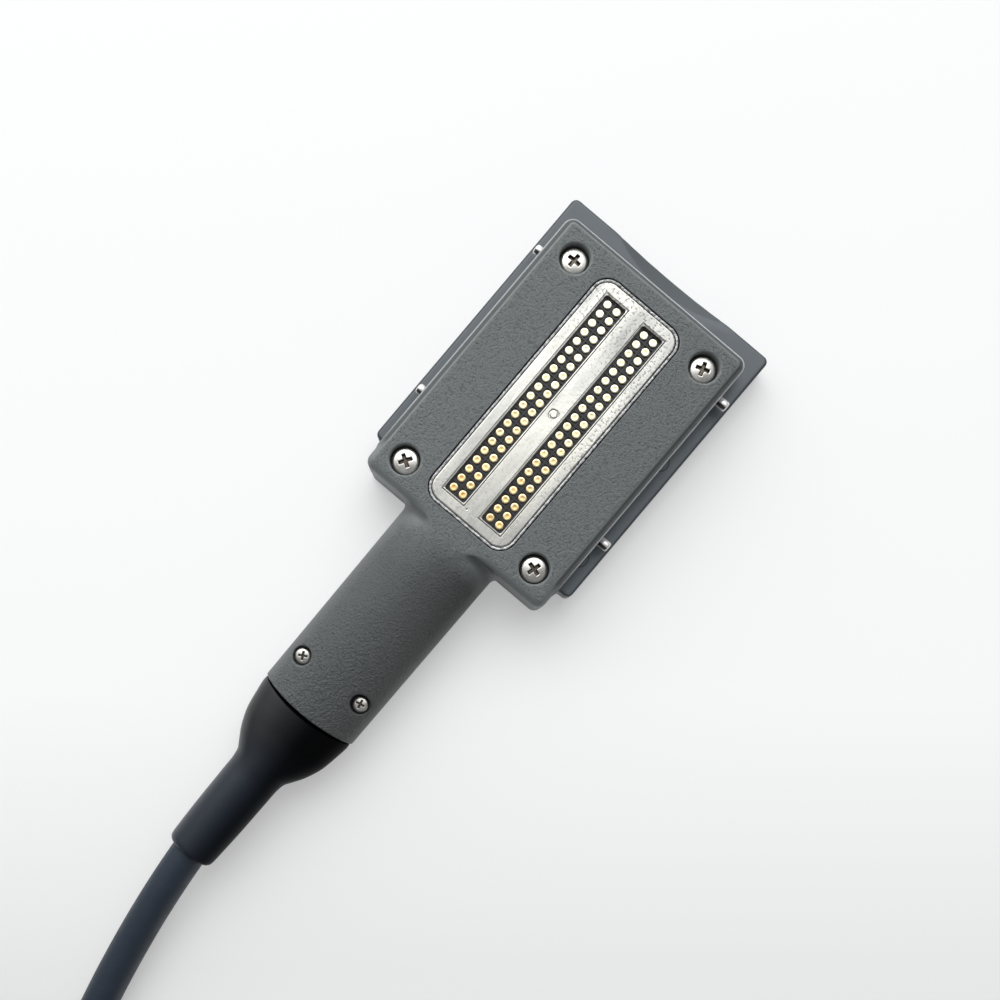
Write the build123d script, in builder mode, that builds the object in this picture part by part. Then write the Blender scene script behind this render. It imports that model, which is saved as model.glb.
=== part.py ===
from build123d import *
import math
import os

# Connector, lead and scan head of an ultrasound transducer probe, in millimetres.
# The connector lies on its back with its contact side up. The origin is on its resting face,
# under the centre of the contact field. +Y points to the connector's front edge, +Z is up,
# and the lead leaves towards -Y and ends in the scan head.

os.makedirs("parts", exist_ok=True)

# General clearances
overrun = 1.0  # how far a cutting form runs past the face that it opens
seat_gap = 0.05  # between a piece and the pocket that it drops into

# Contact field: two slots, each with two columns of flat round contacts
contact_pitch = 2.54
contact_rows = 21
contact_columns = 2
slot_spacing = 10.16  # between the centres of the two slots
slot_side_margin = 1.365  # from a column's centre to the slot's side
slot_end_margin = 1.35  # from the last contact's centre to the slot's end
slot_corner = 0.5
slot_chamfer = 0.25
contact_radius = 0.9
contact_recess = 0.55  # contact face below the contact side
contact_thickness = 0.5
contact_sides = 8  # each round contact face is cut as a regular prism
cell_size = 2.2  # square pocket around each contact
insulator_recess = 0.7  # insulator's top below the contact side

# Die-cast contact frame
frame_side_margin = 3.235  # from a slot's side to the frame's edge
frame_end_margin = 3.2
frame_corner = 3.6
frame_recess = 0.1  # frame's top below the contact side
frame_flange_thickness = 1.3
frame_ledge_width = 0.9  # ring of the housing that the frame's flange lies on
frame_depth = 4.9  # from the frame's top to its underside
frame_groove_inset = 0.3
frame_groove_width = 0.45
frame_groove_depth = 0.25
frame_dimple_radius = 1.1
frame_dimple_depth = 0.3
seal_width = 0.5

# Connector housing
face_height = 16.0
parting_height = 8.0  # where the two halves meet, level with the flange
shell_wall = 2.0
roof_thickness = 2.4
body_side_margin = 13.95  # from the contact frame to the housing's side
body_front_margin = 5.7
body_rear_margin = 4.05
body_corner = 2.4
body_edge = 2.0
cavity_corner = 1.0

# Flange and back of the rear cover
flange_side_lip = 3.1
flange_front_lip = 6.1
flange_rear_step = 7.1  # from the housing's rear wall forward to the flange's rear edge
flange_corner = 1.4
flange_edge = 0.3
back_edge = 1.2
back_thickness = 2.0
scoop_width = 33.8  # chord of the finger scoop on the front edge
scoop_reach = 4.2
scoop_depth = 1.55
eject_mark_radius = 2.1
eject_mark_depth = 0.12
eject_mark_inset = 1.1  # from the housing's side inward to the mark's centre
eject_mark_front = 26.65  # from the housing's front wall to each mark
eject_mark_rear = 54.15

# Neck between the housing and the boot
neck_half_width = 12.45
neck_end_half_width = 12.1
neck_crest_drop = 0.05  # neck's crest below the contact side
neck_length = 48.25
neck_space_half_width = 6.5
neck_space_half_height = 5.2
neck_flare = 2.0  # rounding where the neck meets the housing
neck_flare_steps = 3

# Large screws in the corners of the housing
screw_side_inset = 6.9
screw_front_inset = 7.35
screw_rear_inset = 6.3
screw_head_radius = 2.83
screw_head_height = 1.9
screw_head_recess = 1.8
screw_shank_radius = 1.5
screw_bite = 4.6  # shank's length below the parting plane
screw_hole_clearance = 0.2
counterbore_radius = 3.3
boss_wall = 1.2

# Small screws at the end of the neck
neck_screw_half_spacing = 8.1
neck_screw_inset = 8.35  # from the neck's end
neck_screw_head_radius = 1.45
neck_screw_head_height = 1.1
neck_screw_seat = 2.5  # head's seat above the parting plane
neck_screw_shank_radius = 1.0
neck_screw_bite = 3.9
neck_counterbore_radius = 1.9
neck_boss_wall = 0.7

# Steel guide pins in the side walls
pin_radius = 1.19
pin_rise = 3.0  # pin's axis above the flange
pin_reach = 2.1  # how far it stands out of the housing
pin_depth = 4.2  # how deep it sits in the housing
pin_shank_radius = 1.0  # the thinner part that is pressed into the wall
pin_shoulder_gap = 0.3  # between the wall and the pin's shoulder
pin_front_inset = 9.25  # from the housing's front wall
pin_rear_inset = 20.7  # from the housing's rear wall
pin_boss_width = 5.0
pin_boss_wall = 0.8

# Contact board, wires and crimp ferrule inside
board_thickness = 1.6
board_side_margin = 1.3
board_end_margin = 2.0
wires_flat_half_width = 6.0
wires_flat_half_height = 0.75
wires_bundle_half_width = 2.6
ferrule_wall = 1.0
ferrule_length = 10.0
ferrule_flange_thickness = 2.0
ferrule_flange_gap = 0.1

# Lead
lead_radius = 4.0
bend_run_share = 0.45  # share of the shorter run that a corner's arc takes

# Boot on the connector's neck
boot_gap = 0.1  # between the neck's end and the boot
boot_bell_half_width = 11.85
boot_bell_half_height = 7.5
boot_bell_length = 18.1
boot_lip_drop = 0.5  # how much lower the boot's first edge is
boot_lip_length = 1.1
boot_sleeve_radius = 6.1
boot_sleeve_end_radius = 5.6
boot_sleeve_length = 22.6
boot_sleeve_edge = 1.0
boot_stub_length = 4.6
boot_stub_gap = 0.1

# Put-away lead: a tied hank of turns on the table, in line with the connector
hank_centre_x = 8.0
hank_near_y = -214.0  # centre of the fold nearest to the connector
hank_straight = 84.0  # between the centres of the two folds
hank_fold_radius = 28.0  # middle of the turns at a fold
hank_turns_wide = 2
hank_low_layers = 2
hank_high_layers = 1
hank_high_end_y = -286.0  # where the top layer leaves the hank
tie_thickness = 0.6
tie_width = 9.0
tie_near_share = 0.5  # place of the ties along the straight stretch

# Scan head
head_x = 12.0
head_half_thickness = 12.5
head_tip_y = -370.0  # end of the head's boot
head_boot_length = 26.0
head_boot_tip_radius = 5.6
head_shell_length = 75.0
nose_half_width = 31.0
nose_length = 22.0  # from the shells to the middle of the lens
nose_corner_share = 0.8
lens_radius = 58.0
lens_half_angle = 29.5
lens_thickness = 2.6
lens_crown = 1.1
lens_half_height = 7.2
lens_stand_out = 1.5  # lens in front of the nose
array_thickness = 1.2
array_half_height = 6.6
array_angle_margin = 1.5
backing_depth = 9.0
array_pocket_gap = 0.2
nose_tunnel_half_width = 18.0
flex_thickness = 0.3
flex_half_width = 12.0
head_board_half_width = 11.0
head_board_length = 48.0
head_board_inset = 12.0  # from the shells' rear end
head_post_width = 3.2
head_mouth_half_width = 7.2  # inner space of the handle, from its mouth to its front
head_middle_half_width = 11.6
head_middle_half_height = 8.5
head_front_half_height = 7.8
head_post_inset = 3.0  # from the board's corners
head_ferrule_length = 6.0
head_ferrule_flange_radius = 6.9
index_rib_radius = 0.8
index_rib_length = 7.0

# Shares of length, width and height along a boot's bell, from its mouth to its sleeve
bell_shares = ((0.18, 0.95), (0.40, 0.82), (0.58, 0.63), (0.73, 0.42), (0.86, 0.19), (1.0, 0.0))
# Shares of the shells' length, the nose's half width and the head's half thickness
shell_shares = (
    (0.0, 0.355, 0.77),
    (0.20, 0.49, 0.93),
    (0.45, 0.555, 0.995),
    (0.66, 0.63, 0.985),
    (0.84, 0.84, 0.93),
    (1.0, 1.0, 0.88),
)

# Worked-out sizes of the contact field and the housing
slot_half_width = contact_pitch * (contact_columns - 1) / 2 + slot_side_margin
slot_half_length = contact_pitch * (contact_rows - 1) / 2 + slot_end_margin
frame_half_width = slot_spacing / 2 + slot_half_width + frame_side_margin
frame_half_length = slot_half_length + frame_end_margin
frame_top = face_height - frame_recess
frame_ledge_height = frame_top - frame_flange_thickness
window_half_width = frame_half_width - frame_ledge_width
window_half_length = frame_half_length - frame_ledge_width
contact_top = face_height - contact_recess
insulator_top = face_height - insulator_recess
cell_floor = contact_top - contact_thickness
board_top = frame_top - frame_depth - 2 * seat_gap
body_half_width = frame_half_width + body_side_margin
body_front = frame_half_length + body_front_margin
body_rear = -frame_half_length - body_rear_margin
body_length = body_front - body_rear
body_centre_y = (body_front + body_rear) / 2
flange_half_width = body_half_width + flange_side_lip
flange_front = body_front + flange_front_lip
flange_rear = body_rear + flange_rear_step
neck_end_y = body_rear - neck_length
neck_half_height = face_height - parting_height - neck_crest_drop
screw_x = body_half_width - screw_side_inset
screw_places = [
    (side * screw_x, y)
    for side in (-1, 1)
    for y in (body_front - screw_front_inset, body_rear + screw_rear_inset)
]
screw_seat_height = face_height - screw_head_recess - screw_head_height
neck_screw_y = neck_end_y + neck_screw_inset
neck_screw_places = [(side * neck_screw_half_spacing, neck_screw_y) for side in (-1, 1)]
neck_screw_seat_height = parting_height + neck_screw_seat
pin_height = parting_height + pin_rise
pin_rows = {"front": body_front - pin_front_inset, "rear": body_rear + pin_rear_inset}
ferrule_y = neck_screw_y + neck_counterbore_radius + neck_boss_wall + overrun
boot_mouth_y = neck_end_y - boot_gap
boot_sleeve_y = boot_mouth_y - boot_bell_length
boot_tip_y = boot_sleeve_y - boot_sleeve_length

# Worked-out sizes of the hank
lead_diameter = 2 * lead_radius
hank_inner = hank_fold_radius - hank_turns_wide * lead_radius
hank_outer = hank_fold_radius + hank_turns_wide * lead_radius
hank_far_y = hank_near_y - hank_straight
hank_low_top = tie_thickness + hank_low_layers * lead_diameter
hank_high_top = hank_low_top + hank_high_layers * lead_diameter

# Worked-out sizes of the scan head
shell_start_y = head_tip_y - head_boot_length
shell_end_y = shell_start_y - head_shell_length
lens_tip_y = shell_end_y - nose_length
curvature_y = lens_tip_y + lens_radius
array_radius = lens_radius - lens_thickness
backing_radius = array_radius - array_thickness
backing_rear_radius = backing_radius - backing_depth
array_half_angle = lens_half_angle - array_angle_margin
shell_mouth_half_width = shell_shares[0][1] * nose_half_width
shell_mouth_half_height = shell_shares[0][2] * head_half_thickness
nose_half_height = shell_shares[-1][2] * head_half_thickness
head_board_near_y = shell_start_y - head_board_inset
head_board_far_y = head_board_near_y - head_board_length

connector_axis = Axis((0, 0, parting_height), (0, 1, 0))
curvature_axis = Axis((head_x, curvature_y, head_half_thickness), (0, 0, 1))


def ellipse_loft(stations, x, z, ruled=False):
    """Lofts ellipses across Y, each given as (y, half width, half height), into the part being built."""
    sections = []
    for y, half_width, half_height in stations:
        with BuildSketch(Plane.XZ.offset(-y)) as section:
            with Locations((x, z)):
                Ellipse(half_width, half_height)
        sections.append(section.sketch)
    loft(sections, ruled=ruled)


def round_bar(start_y, end_y, radius, x, z, mode=Mode.ADD):
    """Adds or removes a straight round bar along Y."""
    with BuildSketch(Plane.XZ.offset(-start_y)) as section:
        with Locations((x, z)):
            Circle(radius)
    extrude(section.sketch, amount=start_y - end_y, mode=mode)


def upright_bars(places, bottom, top, radius, mode=Mode.ADD):
    """Adds or removes upright round bars at the given places."""
    with BuildSketch(Plane.XY.offset(bottom)) as section:
        with Locations(*places):
            Circle(radius)
    extrude(section.sketch, amount=top - bottom, mode=mode)


def block(x_range, y_range, z_range, mode=Mode.ADD):
    """Adds or removes a block between pairs of X, Y and Z."""
    with BuildSketch(Plane.XY.offset(z_range[0])) as outline:
        with Locations((sum(x_range) / 2, sum(y_range) / 2)):
            Rectangle(x_range[1] - x_range[0], y_range[1] - y_range[0])
    extrude(outline.sketch, amount=z_range[1] - z_range[0], mode=mode)


def square_posts(places, half_width):
    """Leaves upright square posts standing in the space being built, over the housing's height."""
    with BuildSketch(Plane.XY) as section:
        with Locations(*places):
            Rectangle(2 * half_width, 2 * half_width)
    extrude(section.sketch, amount=face_height, mode=Mode.SUBTRACT)


def rounded_block(half_width, y_range, z_range, corner, mode=Mode.ADD):
    """Adds or removes a block with rounded upright corners, centred across X."""
    with BuildSketch(Plane.XY.offset(z_range[0])) as outline:
        with Locations((0, sum(y_range) / 2)):
            RectangleRounded(2 * half_width, y_range[1] - y_range[0], corner)
    extrude(outline.sketch, amount=z_range[1] - z_range[0], mode=mode)


def neck_form():
    """Adds the neck's full elliptical form, flared into the housing's rear wall."""
    flare = [
        (
            body_rear - neck_flare * (1 - math.cos(step * math.pi / 2 / neck_flare_steps)),
            neck_half_width + neck_flare * (1 - math.sin(step * math.pi / 2 / neck_flare_steps)),
            neck_half_height,
        )
        for step in range(neck_flare_steps + 1)
    ]
    root = (body_rear + body_edge + back_edge, neck_half_width + neck_flare, neck_half_height)
    end = (neck_end_y, neck_end_half_width, neck_half_height)
    ellipse_loft([root] + flare + [end], 0, parting_height, ruled=True)


def boot_bell(mouth_y, end_y, half_width, half_height, end_radius, x, z):
    """Adds a boot's bell, from a slightly lower mouth to a round end."""
    crest_y = mouth_y + math.copysign(boot_lip_length, end_y - mouth_y)
    lip = (mouth_y, half_width - boot_lip_drop / 2, half_height - boot_lip_drop)
    crest = (crest_y, half_width, half_height)
    tail = [
        (
            crest_y + along * (end_y - crest_y),
            end_radius + share * (half_width - end_radius),
            end_radius + share * (half_height - end_radius),
        )
        for along, share in bell_shares
    ]
    ellipse_loft([lip, crest] + tail, x, z)


def crimp_ferrule(near_y, length, flange_radius, x, z):
    """Adds a crimped ring around the lead, with the flange that the housing holds."""
    far_y = near_y - length
    middle_y = (near_y + far_y + ferrule_flange_thickness) / 2
    round_bar(near_y, far_y, lead_radius + ferrule_wall, x, z)
    round_bar(middle_y, middle_y - ferrule_flange_thickness, flange_radius, x, z)
    round_bar(near_y + overrun, far_y - overrun, lead_radius, x, z, Mode.SUBTRACT)


def finish(builder, name):
    """Labels a finished piece and writes it to its own file."""
    builder.part.label = name
    export_step(builder.part, f"parts/{name}.step")


# Inner space of the connector housing, with its screw and pin bosses left standing
with BuildPart() as connector_space:
    rounded_block(
        body_half_width - shell_wall,
        (body_rear + shell_wall, body_front - shell_wall),
        (back_thickness, face_height - roof_thickness),
        cavity_corner,
    )
    block(
        (-neck_space_half_width, neck_space_half_width),
        (neck_end_y - overrun, body_rear + shell_wall + overrun),
        (parting_height - neck_space_half_height, parting_height + neck_space_half_height),
    )
    square_posts(screw_places, counterbore_radius + boss_wall)
    square_posts(neck_screw_places, neck_counterbore_radius + neck_boss_wall)
    for pin_y in pin_rows.values():
        for side in (-1, 1):
            boss_ends = sorted(
                (side * (body_half_width - pin_depth - pin_boss_wall), side * body_half_width)
            )
            block(
                boss_ends,
                (pin_y - pin_boss_width / 2, pin_y + pin_boss_width / 2),
                (parting_height, face_height),
                Mode.SUBTRACT,
            )

# Front shell: textured housing and upper half of the neck, moulded in one piece
with BuildPart() as front_shell:
    rounded_block(
        body_half_width, (body_rear, body_front), (parting_height, face_height), body_corner
    )
    fillet(front_shell.faces().sort_by(Axis.Z)[-1].edges(), body_edge)
    neck_form()
    split(bisect_by=Plane.XY.offset(parting_height), keep=Keep.TOP)
    add(connector_space.part, mode=Mode.SUBTRACT)
    rounded_block(
        frame_half_width + seal_width,
        (-frame_half_length - seal_width, frame_half_length + seal_width),
        (frame_ledge_height, face_height + overrun),
        frame_corner + seal_width,
        Mode.SUBTRACT,
    )
    rounded_block(
        window_half_width,
        (-window_half_length, window_half_length),
        (parting_height, face_height),
        frame_corner - frame_ledge_width,
        Mode.SUBTRACT,
    )
    upright_bars(
        screw_places, screw_seat_height, face_height + overrun, counterbore_radius, Mode.SUBTRACT
    )
    upright_bars(
        screw_places,
        parting_height - overrun,
        screw_seat_height,
        screw_shank_radius + screw_hole_clearance,
        Mode.SUBTRACT,
    )
    upright_bars(
        neck_screw_places, neck_screw_seat_height, face_height, neck_counterbore_radius, Mode.SUBTRACT
    )
    upright_bars(
        neck_screw_places,
        parting_height - overrun,
        neck_screw_seat_height,
        neck_screw_shank_radius + screw_hole_clearance,
        Mode.SUBTRACT,
    )
    for pin_y in pin_rows.values():
        for side in (-1, 1):
            pin_face = Plane(
                origin=(side * (body_half_width - pin_depth), pin_y, pin_height), z_dir=(side, 0, 0)
            )
            with BuildSketch(pin_face):
                Circle(pin_shank_radius)
            extrude(amount=pin_depth + overrun, mode=Mode.SUBTRACT)
finish(front_shell, "front_shell")

# The housing's own outline carries on below the parting plane, behind the flange's rear edge
with BuildPart() as rear_body:
    rounded_block(body_half_width, (body_rear, body_front), (0, parting_height), body_corner)
    chamfer(rear_body.faces().sort_by(Axis.Z)[0].edges(), back_edge)

# Rear cover: back, flange with its finger scoop, and lower half of the neck
with BuildPart() as rear_cover:
    rounded_block(flange_half_width, (flange_rear, flange_front), (0, parting_height), flange_corner)
    chamfer(rear_cover.faces().sort_by(Axis.Z)[-1].edges(), flange_edge)
    chamfer(rear_cover.faces().sort_by(Axis.Z)[0].edges(), back_edge)
    add(rear_body.part)
    neck_form()
    split(bisect_by=Plane.XY.offset(parting_height), keep=Keep.BOTTOM)
    add(connector_space.part, mode=Mode.SUBTRACT)
    upright_bars(
        screw_places, parting_height - screw_bite, face_height, screw_shank_radius, Mode.SUBTRACT
    )
    upright_bars(
        neck_screw_places,
        parting_height - neck_screw_bite,
        face_height,
        neck_screw_shank_radius,
        Mode.SUBTRACT,
    )
    scoop_circle = (scoop_width**2 / 4 + scoop_reach**2) / (2 * scoop_reach)
    scoop_offset = scoop_circle - scoop_reach
    scoop_rise = (scoop_circle**2 - scoop_offset**2 - scoop_depth**2) / (2 * scoop_depth)
    with Locations((0, flange_front + scoop_offset, parting_height + scoop_rise)):
        Sphere(math.hypot(scoop_circle, scoop_rise), mode=Mode.SUBTRACT)
    upright_bars(
        [
            (body_half_width - eject_mark_inset, body_front - eject_mark_front),
            (body_half_width - eject_mark_inset, body_front - eject_mark_rear),
        ],
        parting_height - eject_mark_depth,
        parting_height + overrun,
        eject_mark_radius,
        Mode.SUBTRACT,
    )
finish(rear_cover, "rear_cover")

# Contact frame: die-cast plate with a rim groove and two slots, let into the front shell
with BuildPart() as contact_frame:
    rounded_block(
        frame_half_width,
        (-frame_half_length, frame_half_length),
        (frame_ledge_height, frame_top),
        frame_corner,
    )
    rounded_block(
        window_half_width - seat_gap,
        (-window_half_length + seat_gap, window_half_length - seat_gap),
        (frame_top - frame_depth, frame_ledge_height),
        frame_corner - frame_ledge_width,
    )
    with BuildSketch(Plane.XY.offset(frame_top)):
        for inset, mode in (
            (frame_groove_inset, Mode.ADD),
            (frame_groove_inset + frame_groove_width, Mode.SUBTRACT),
        ):
            RectangleRounded(
                2 * (frame_half_width - inset),
                2 * (frame_half_length - inset),
                frame_corner - inset,
                mode=mode,
            )
    extrude(amount=-frame_groove_depth, mode=Mode.SUBTRACT)
    with BuildSketch(Plane.XY.offset(frame_top)):
        with GridLocations(slot_spacing, 0, 2, 1):
            RectangleRounded(2 * slot_half_width, 2 * slot_half_length, slot_corner)
    extrude(amount=-frame_depth, mode=Mode.SUBTRACT)
    slot_mouths = (
        contact_frame.edges()
        .filter_by_position(Axis.Z, frame_top - seat_gap, frame_top + seat_gap)
        .filter_by(lambda e: abs(e.center().X) > slot_spacing / 2 - slot_half_width - seat_gap)
        .filter_by(lambda e: abs(e.center().X) < slot_spacing / 2 + slot_half_width + seat_gap)
        .filter_by(lambda e: abs(e.center().Y) < slot_half_length + seat_gap)
    )
    chamfer(slot_mouths, slot_chamfer)
    with Locations((0, 0, frame_top)):
        Cone(
            bottom_radius=0,
            top_radius=frame_dimple_radius,
            height=frame_dimple_depth,
            align=(Align.CENTER, Align.CENTER, Align.MAX),
            mode=Mode.SUBTRACT,
        )
finish(contact_frame, "contact_frame")

# Seal: bead of sealant in the gap between the contact frame and the front shell
with BuildPart() as frame_seal:
    rounded_block(
        frame_half_width + seal_width,
        (-frame_half_length - seal_width, frame_half_length + seal_width),
        (frame_ledge_height, face_height),
        frame_corner + seal_width,
    )
    rounded_block(
        frame_half_width,
        (-frame_half_length, frame_half_length),
        (frame_ledge_height, face_height),
        frame_corner,
        Mode.SUBTRACT,
    )
finish(frame_seal, "frame_seal")


# Insulators and contacts, one pair for each slot
def make_insulator(slot_x):
    """Returns the moulded block in one slot, with a square cell for each contact."""
    with BuildPart() as insulator:
        with BuildSketch(Plane.XY.offset(board_top)):
            with Locations((slot_x, 0)):
                RectangleRounded(
                    2 * (slot_half_width - seat_gap),
                    2 * (slot_half_length - seat_gap),
                    slot_corner - seat_gap,
                )
        extrude(amount=insulator_top - board_top)
        with BuildSketch(Plane.XY.offset(cell_floor)):
            with Locations((slot_x, 0)):
                with GridLocations(contact_pitch, contact_pitch, contact_columns, contact_rows):
                    Rectangle(cell_size, cell_size)
        extrude(amount=face_height - cell_floor, mode=Mode.SUBTRACT)
    return insulator


def make_contacts(slot_x):
    """Returns the contacts of one slot, each a flat prism on the floor of its cell."""
    with BuildPart() as contacts:
        with BuildSketch(Plane.XY.offset(cell_floor)):
            with Locations((slot_x, 0)):
                with GridLocations(contact_pitch, contact_pitch, contact_columns, contact_rows):
                    RegularPolygon(contact_radius, contact_sides)
        extrude(amount=contact_thickness)
    return contacts


for side_name, side in (("left", -1), ("right", 1)):
    finish(make_insulator(side * slot_spacing / 2), f"insulator_{side_name}")
    finish(make_contacts(side * slot_spacing / 2), f"contacts_{side_name}")

# Contact board behind the insulators
with BuildPart() as contact_board:
    board_half_width = window_half_width - board_side_margin
    board_half_length = slot_half_length + board_end_margin
    block(
        (-board_half_width, board_half_width),
        (-board_half_length, board_half_length),
        (board_top - board_thickness, board_top),
    )
finish(contact_board, "contact_board")


# Screws: round heads on plain shanks
def make_screws(places, seat, head_radius, head_height, shank_radius, shank_bottom):
    """Returns a group of round-head screws whose heads stand on the seat height."""
    with BuildPart() as screws:
        upright_bars(places, seat, seat + head_height, head_radius)
        upright_bars(places, shank_bottom, seat, shank_radius)
    return screws


shell_screws = make_screws(
    screw_places,
    screw_seat_height,
    screw_head_radius,
    screw_head_height,
    screw_shank_radius,
    parting_height - screw_bite,
)
finish(shell_screws, "shell_screws")
neck_screws = make_screws(
    neck_screw_places,
    neck_screw_seat_height,
    neck_screw_head_radius,
    neck_screw_head_height,
    neck_screw_shank_radius,
    parting_height - neck_screw_bite,
)
finish(neck_screws, "neck_screws")


# Guide pins: four steel dowels pressed into the side walls
def make_guide_pin(side, pin_y):
    """Returns one dowel with a thinner shank in the wall."""
    start = Plane(origin=(side * (body_half_width - pin_depth), pin_y, pin_height), z_dir=(side, 0, 0))
    with BuildPart() as guide_pin:
        with BuildSketch(start) as shank:
            Circle(pin_shank_radius)
        extrude(shank.sketch, amount=pin_depth + pin_shoulder_gap)
        with BuildSketch(start.offset(pin_depth + pin_shoulder_gap)) as head:
            Circle(pin_radius)
        extrude(head.sketch, amount=pin_reach - pin_shoulder_gap)
    return guide_pin


for row_name, pin_y in pin_rows.items():
    for side_name, side in (("left", -1), ("right", 1)):
        finish(make_guide_pin(side, pin_y), f"guide_pin_{row_name}_{side_name}")

# Crimp ferrule that anchors the lead inside the neck
with BuildPart() as lead_ferrule:
    crimp_ferrule(
        ferrule_y + ferrule_length,
        ferrule_length,
        neck_space_half_height - ferrule_flange_gap,
        0,
        parting_height,
    )
finish(lead_ferrule, "lead_ferrule")

# Lead's end inside the boot and the neck
with BuildPart() as lead_root:
    round_bar(ferrule_y + ferrule_length, boot_tip_y, lead_radius, 0, parting_height)
finish(lead_root, "lead_root")

def make_wires(board_y, board_z, lead_y, lead_z, x):
    """Returns the bundle of wires that widens from the lead to the edge of a board."""
    sections = []
    for y, z, half_width, half_height in (
        (board_y, board_z, wires_flat_half_width, wires_flat_half_height),
        (lead_y, lead_z, wires_bundle_half_width, wires_bundle_half_width),
    ):
        with BuildSketch(Plane.XZ.offset(-y)) as section:
            with Locations((x, z)):
                Rectangle(2 * half_width, 2 * half_height)
        sections.append(section.sketch)
    with BuildPart() as wires:
        loft(sections, ruled=True)
    return wires


# Wires fanned out from the lead to the contact board
wire_fan = make_wires(
    -board_half_length, board_top - board_thickness / 2, ferrule_y + ferrule_length, parting_height, 0
)
finish(wire_fan, "wire_fan")

# Boot: soft bell on the neck's end that runs into a sleeve around the lead
with BuildPart() as connector_boot:
    boot_bell(
        boot_mouth_y,
        boot_sleeve_y,
        boot_bell_half_width,
        boot_bell_half_height,
        boot_sleeve_radius,
        0,
        parting_height,
    )
    with BuildSketch(Plane.XY.offset(parting_height)) as sleeve_profile:
        with BuildLine():
            Polyline(
                (0, boot_sleeve_y),
                (boot_sleeve_radius, boot_sleeve_y),
                (boot_sleeve_end_radius, boot_tip_y),
                (0, boot_tip_y),
                close=True,
            )
        make_face()
        chamfer(sleeve_profile.vertices().sort_by(Axis.Y)[:2].sort_by(Axis.X)[-1], boot_sleeve_edge)
    revolve(axis=connector_axis)
    stub_half_width = neck_space_half_width - boot_stub_gap
    stub_half_height = neck_space_half_height - boot_stub_gap
    block(
        (-stub_half_width, stub_half_width),
        (boot_mouth_y, boot_mouth_y + boot_stub_length),
        (parting_height - stub_half_height, parting_height + stub_half_height),
    )
    round_bar(
        boot_mouth_y + boot_stub_length, boot_tip_y, lead_radius, 0, parting_height, Mode.SUBTRACT
    )
finish(connector_boot, "connector_boot")

# Route of the lead from the boot to the hank, and from the hank to the scan head
lead_route = [
    (0.0, -123.05, 8.0),
    (0.6, -130.5, 7.7),
    (2.6, -146.0, 5.5),
    (6.1, -163.5, 4.3),
    (11.6, -182.0, 4.7),
    (20.5, -199.0, 4.8),
]
tail_route = [
    (36.0, -286.0, 21.0),
    (35.5, -298.0, 21.2),
    (31.3, -313.5, 21.2),
    (23.4, -329.0, 21.4),
    (16.6, -343.5, 18.9),
    (13.1, -357.0, 14.4),
    (12.0, -370.0, 12.5),
]


def bend_radii(route):
    """Returns the largest arc for each corner of a route: a share of the shorter run over tan(half turn)."""
    radii = []
    for before, corner, after in zip(route, route[1:], route[2:]):
        arriving = Vector(corner) - Vector(before)
        leaving = Vector(after) - Vector(corner)
        half_turn = math.radians(arriving.get_angle(leaving)) / 2
        radii.append(bend_run_share * min(arriving.length, leaving.length) / math.tan(half_turn))
    return radii


def make_lead(route):
    """Returns a tube along straight runs joined by tangent arcs, a little past the route's two ends."""
    radii = bend_radii(route)
    first, second = Vector(route[0]), Vector(route[1])
    last, previous = Vector(route[-1]), Vector(route[-2])
    start = first + (first - second).normalized() * overrun
    end = last + (last - previous).normalized() * overrun
    route = [start] + route[1:-1] + [end]
    with BuildPart() as tube:
        with BuildLine():
            path = FilletPolyline(*route, radius=radii)
        with BuildSketch(Plane(origin=path @ 0, z_dir=path % 0)):
            Circle(lead_radius)
        sweep()
    length = path.length
    share = tube.part.volume / (math.pi * lead_radius**2 * length)
    print("lead stretch", round(length, 1), "mm, volume share", round(share, 4))
    print("bend radii", [round(radius) for radius in radii])
    return tube


with BuildPart() as lead_tube:
    add(make_lead(lead_route).part)
    block((-lead_diameter, lead_diameter), (boot_tip_y, 0), (0, face_height), Mode.SUBTRACT)
    with BuildSketch(Plane.XY):
        with Locations((hank_centre_x, hank_near_y)):
            Circle(hank_outer)
    extrude(amount=hank_high_top, mode=Mode.SUBTRACT)
finish(lead_tube, "lead_tube")

with BuildPart() as lead_tail:
    add(make_lead(tail_route).part)
    block((0, 2 * hank_outer), (hank_high_end_y, 0), (0, 2 * hank_high_top), Mode.SUBTRACT)
    block((0, 2 * hank_outer), (2 * head_tip_y, head_tip_y), (0, 2 * hank_high_top), Mode.SUBTRACT)
finish(lead_tail, "lead_tail")


# Hank: outer shape of the turns, two layers all round and a third on the near fold and one side
def hank_outline(radius, mode=Mode.ADD):
    """Adds or removes the long oval at that fold radius in the sketch being built."""
    with Locations((hank_centre_x, (hank_near_y + hank_far_y) / 2)):
        SlotOverall(hank_straight + 2 * radius, 2 * radius, rotation=90, mode=mode)


with BuildPart() as lead_hank:
    with BuildSketch(Plane.XY.offset(tie_thickness)):
        hank_outline(hank_outer)
        hank_outline(hank_inner, Mode.SUBTRACT)
    extrude(amount=hank_low_top - tie_thickness)
    with BuildSketch(Plane.XY.offset(hank_low_top)):
        hank_outline(hank_outer)
        hank_outline(hank_inner, Mode.SUBTRACT)
        with Locations((hank_centre_x, hank_near_y)):
            Rectangle(
                2 * hank_outer,
                2 * hank_outer + hank_straight,
                align=(Align.MAX, Align.MAX),
                mode=Mode.SUBTRACT,
            )
        with Locations((hank_centre_x, hank_high_end_y)):
            Rectangle(
                2 * hank_outer, 2 * hank_outer, align=(Align.CENTER, Align.MAX), mode=Mode.SUBTRACT
            )
    extrude(amount=hank_high_top - hank_low_top)
finish(lead_hank, "lead_hank")

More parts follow.
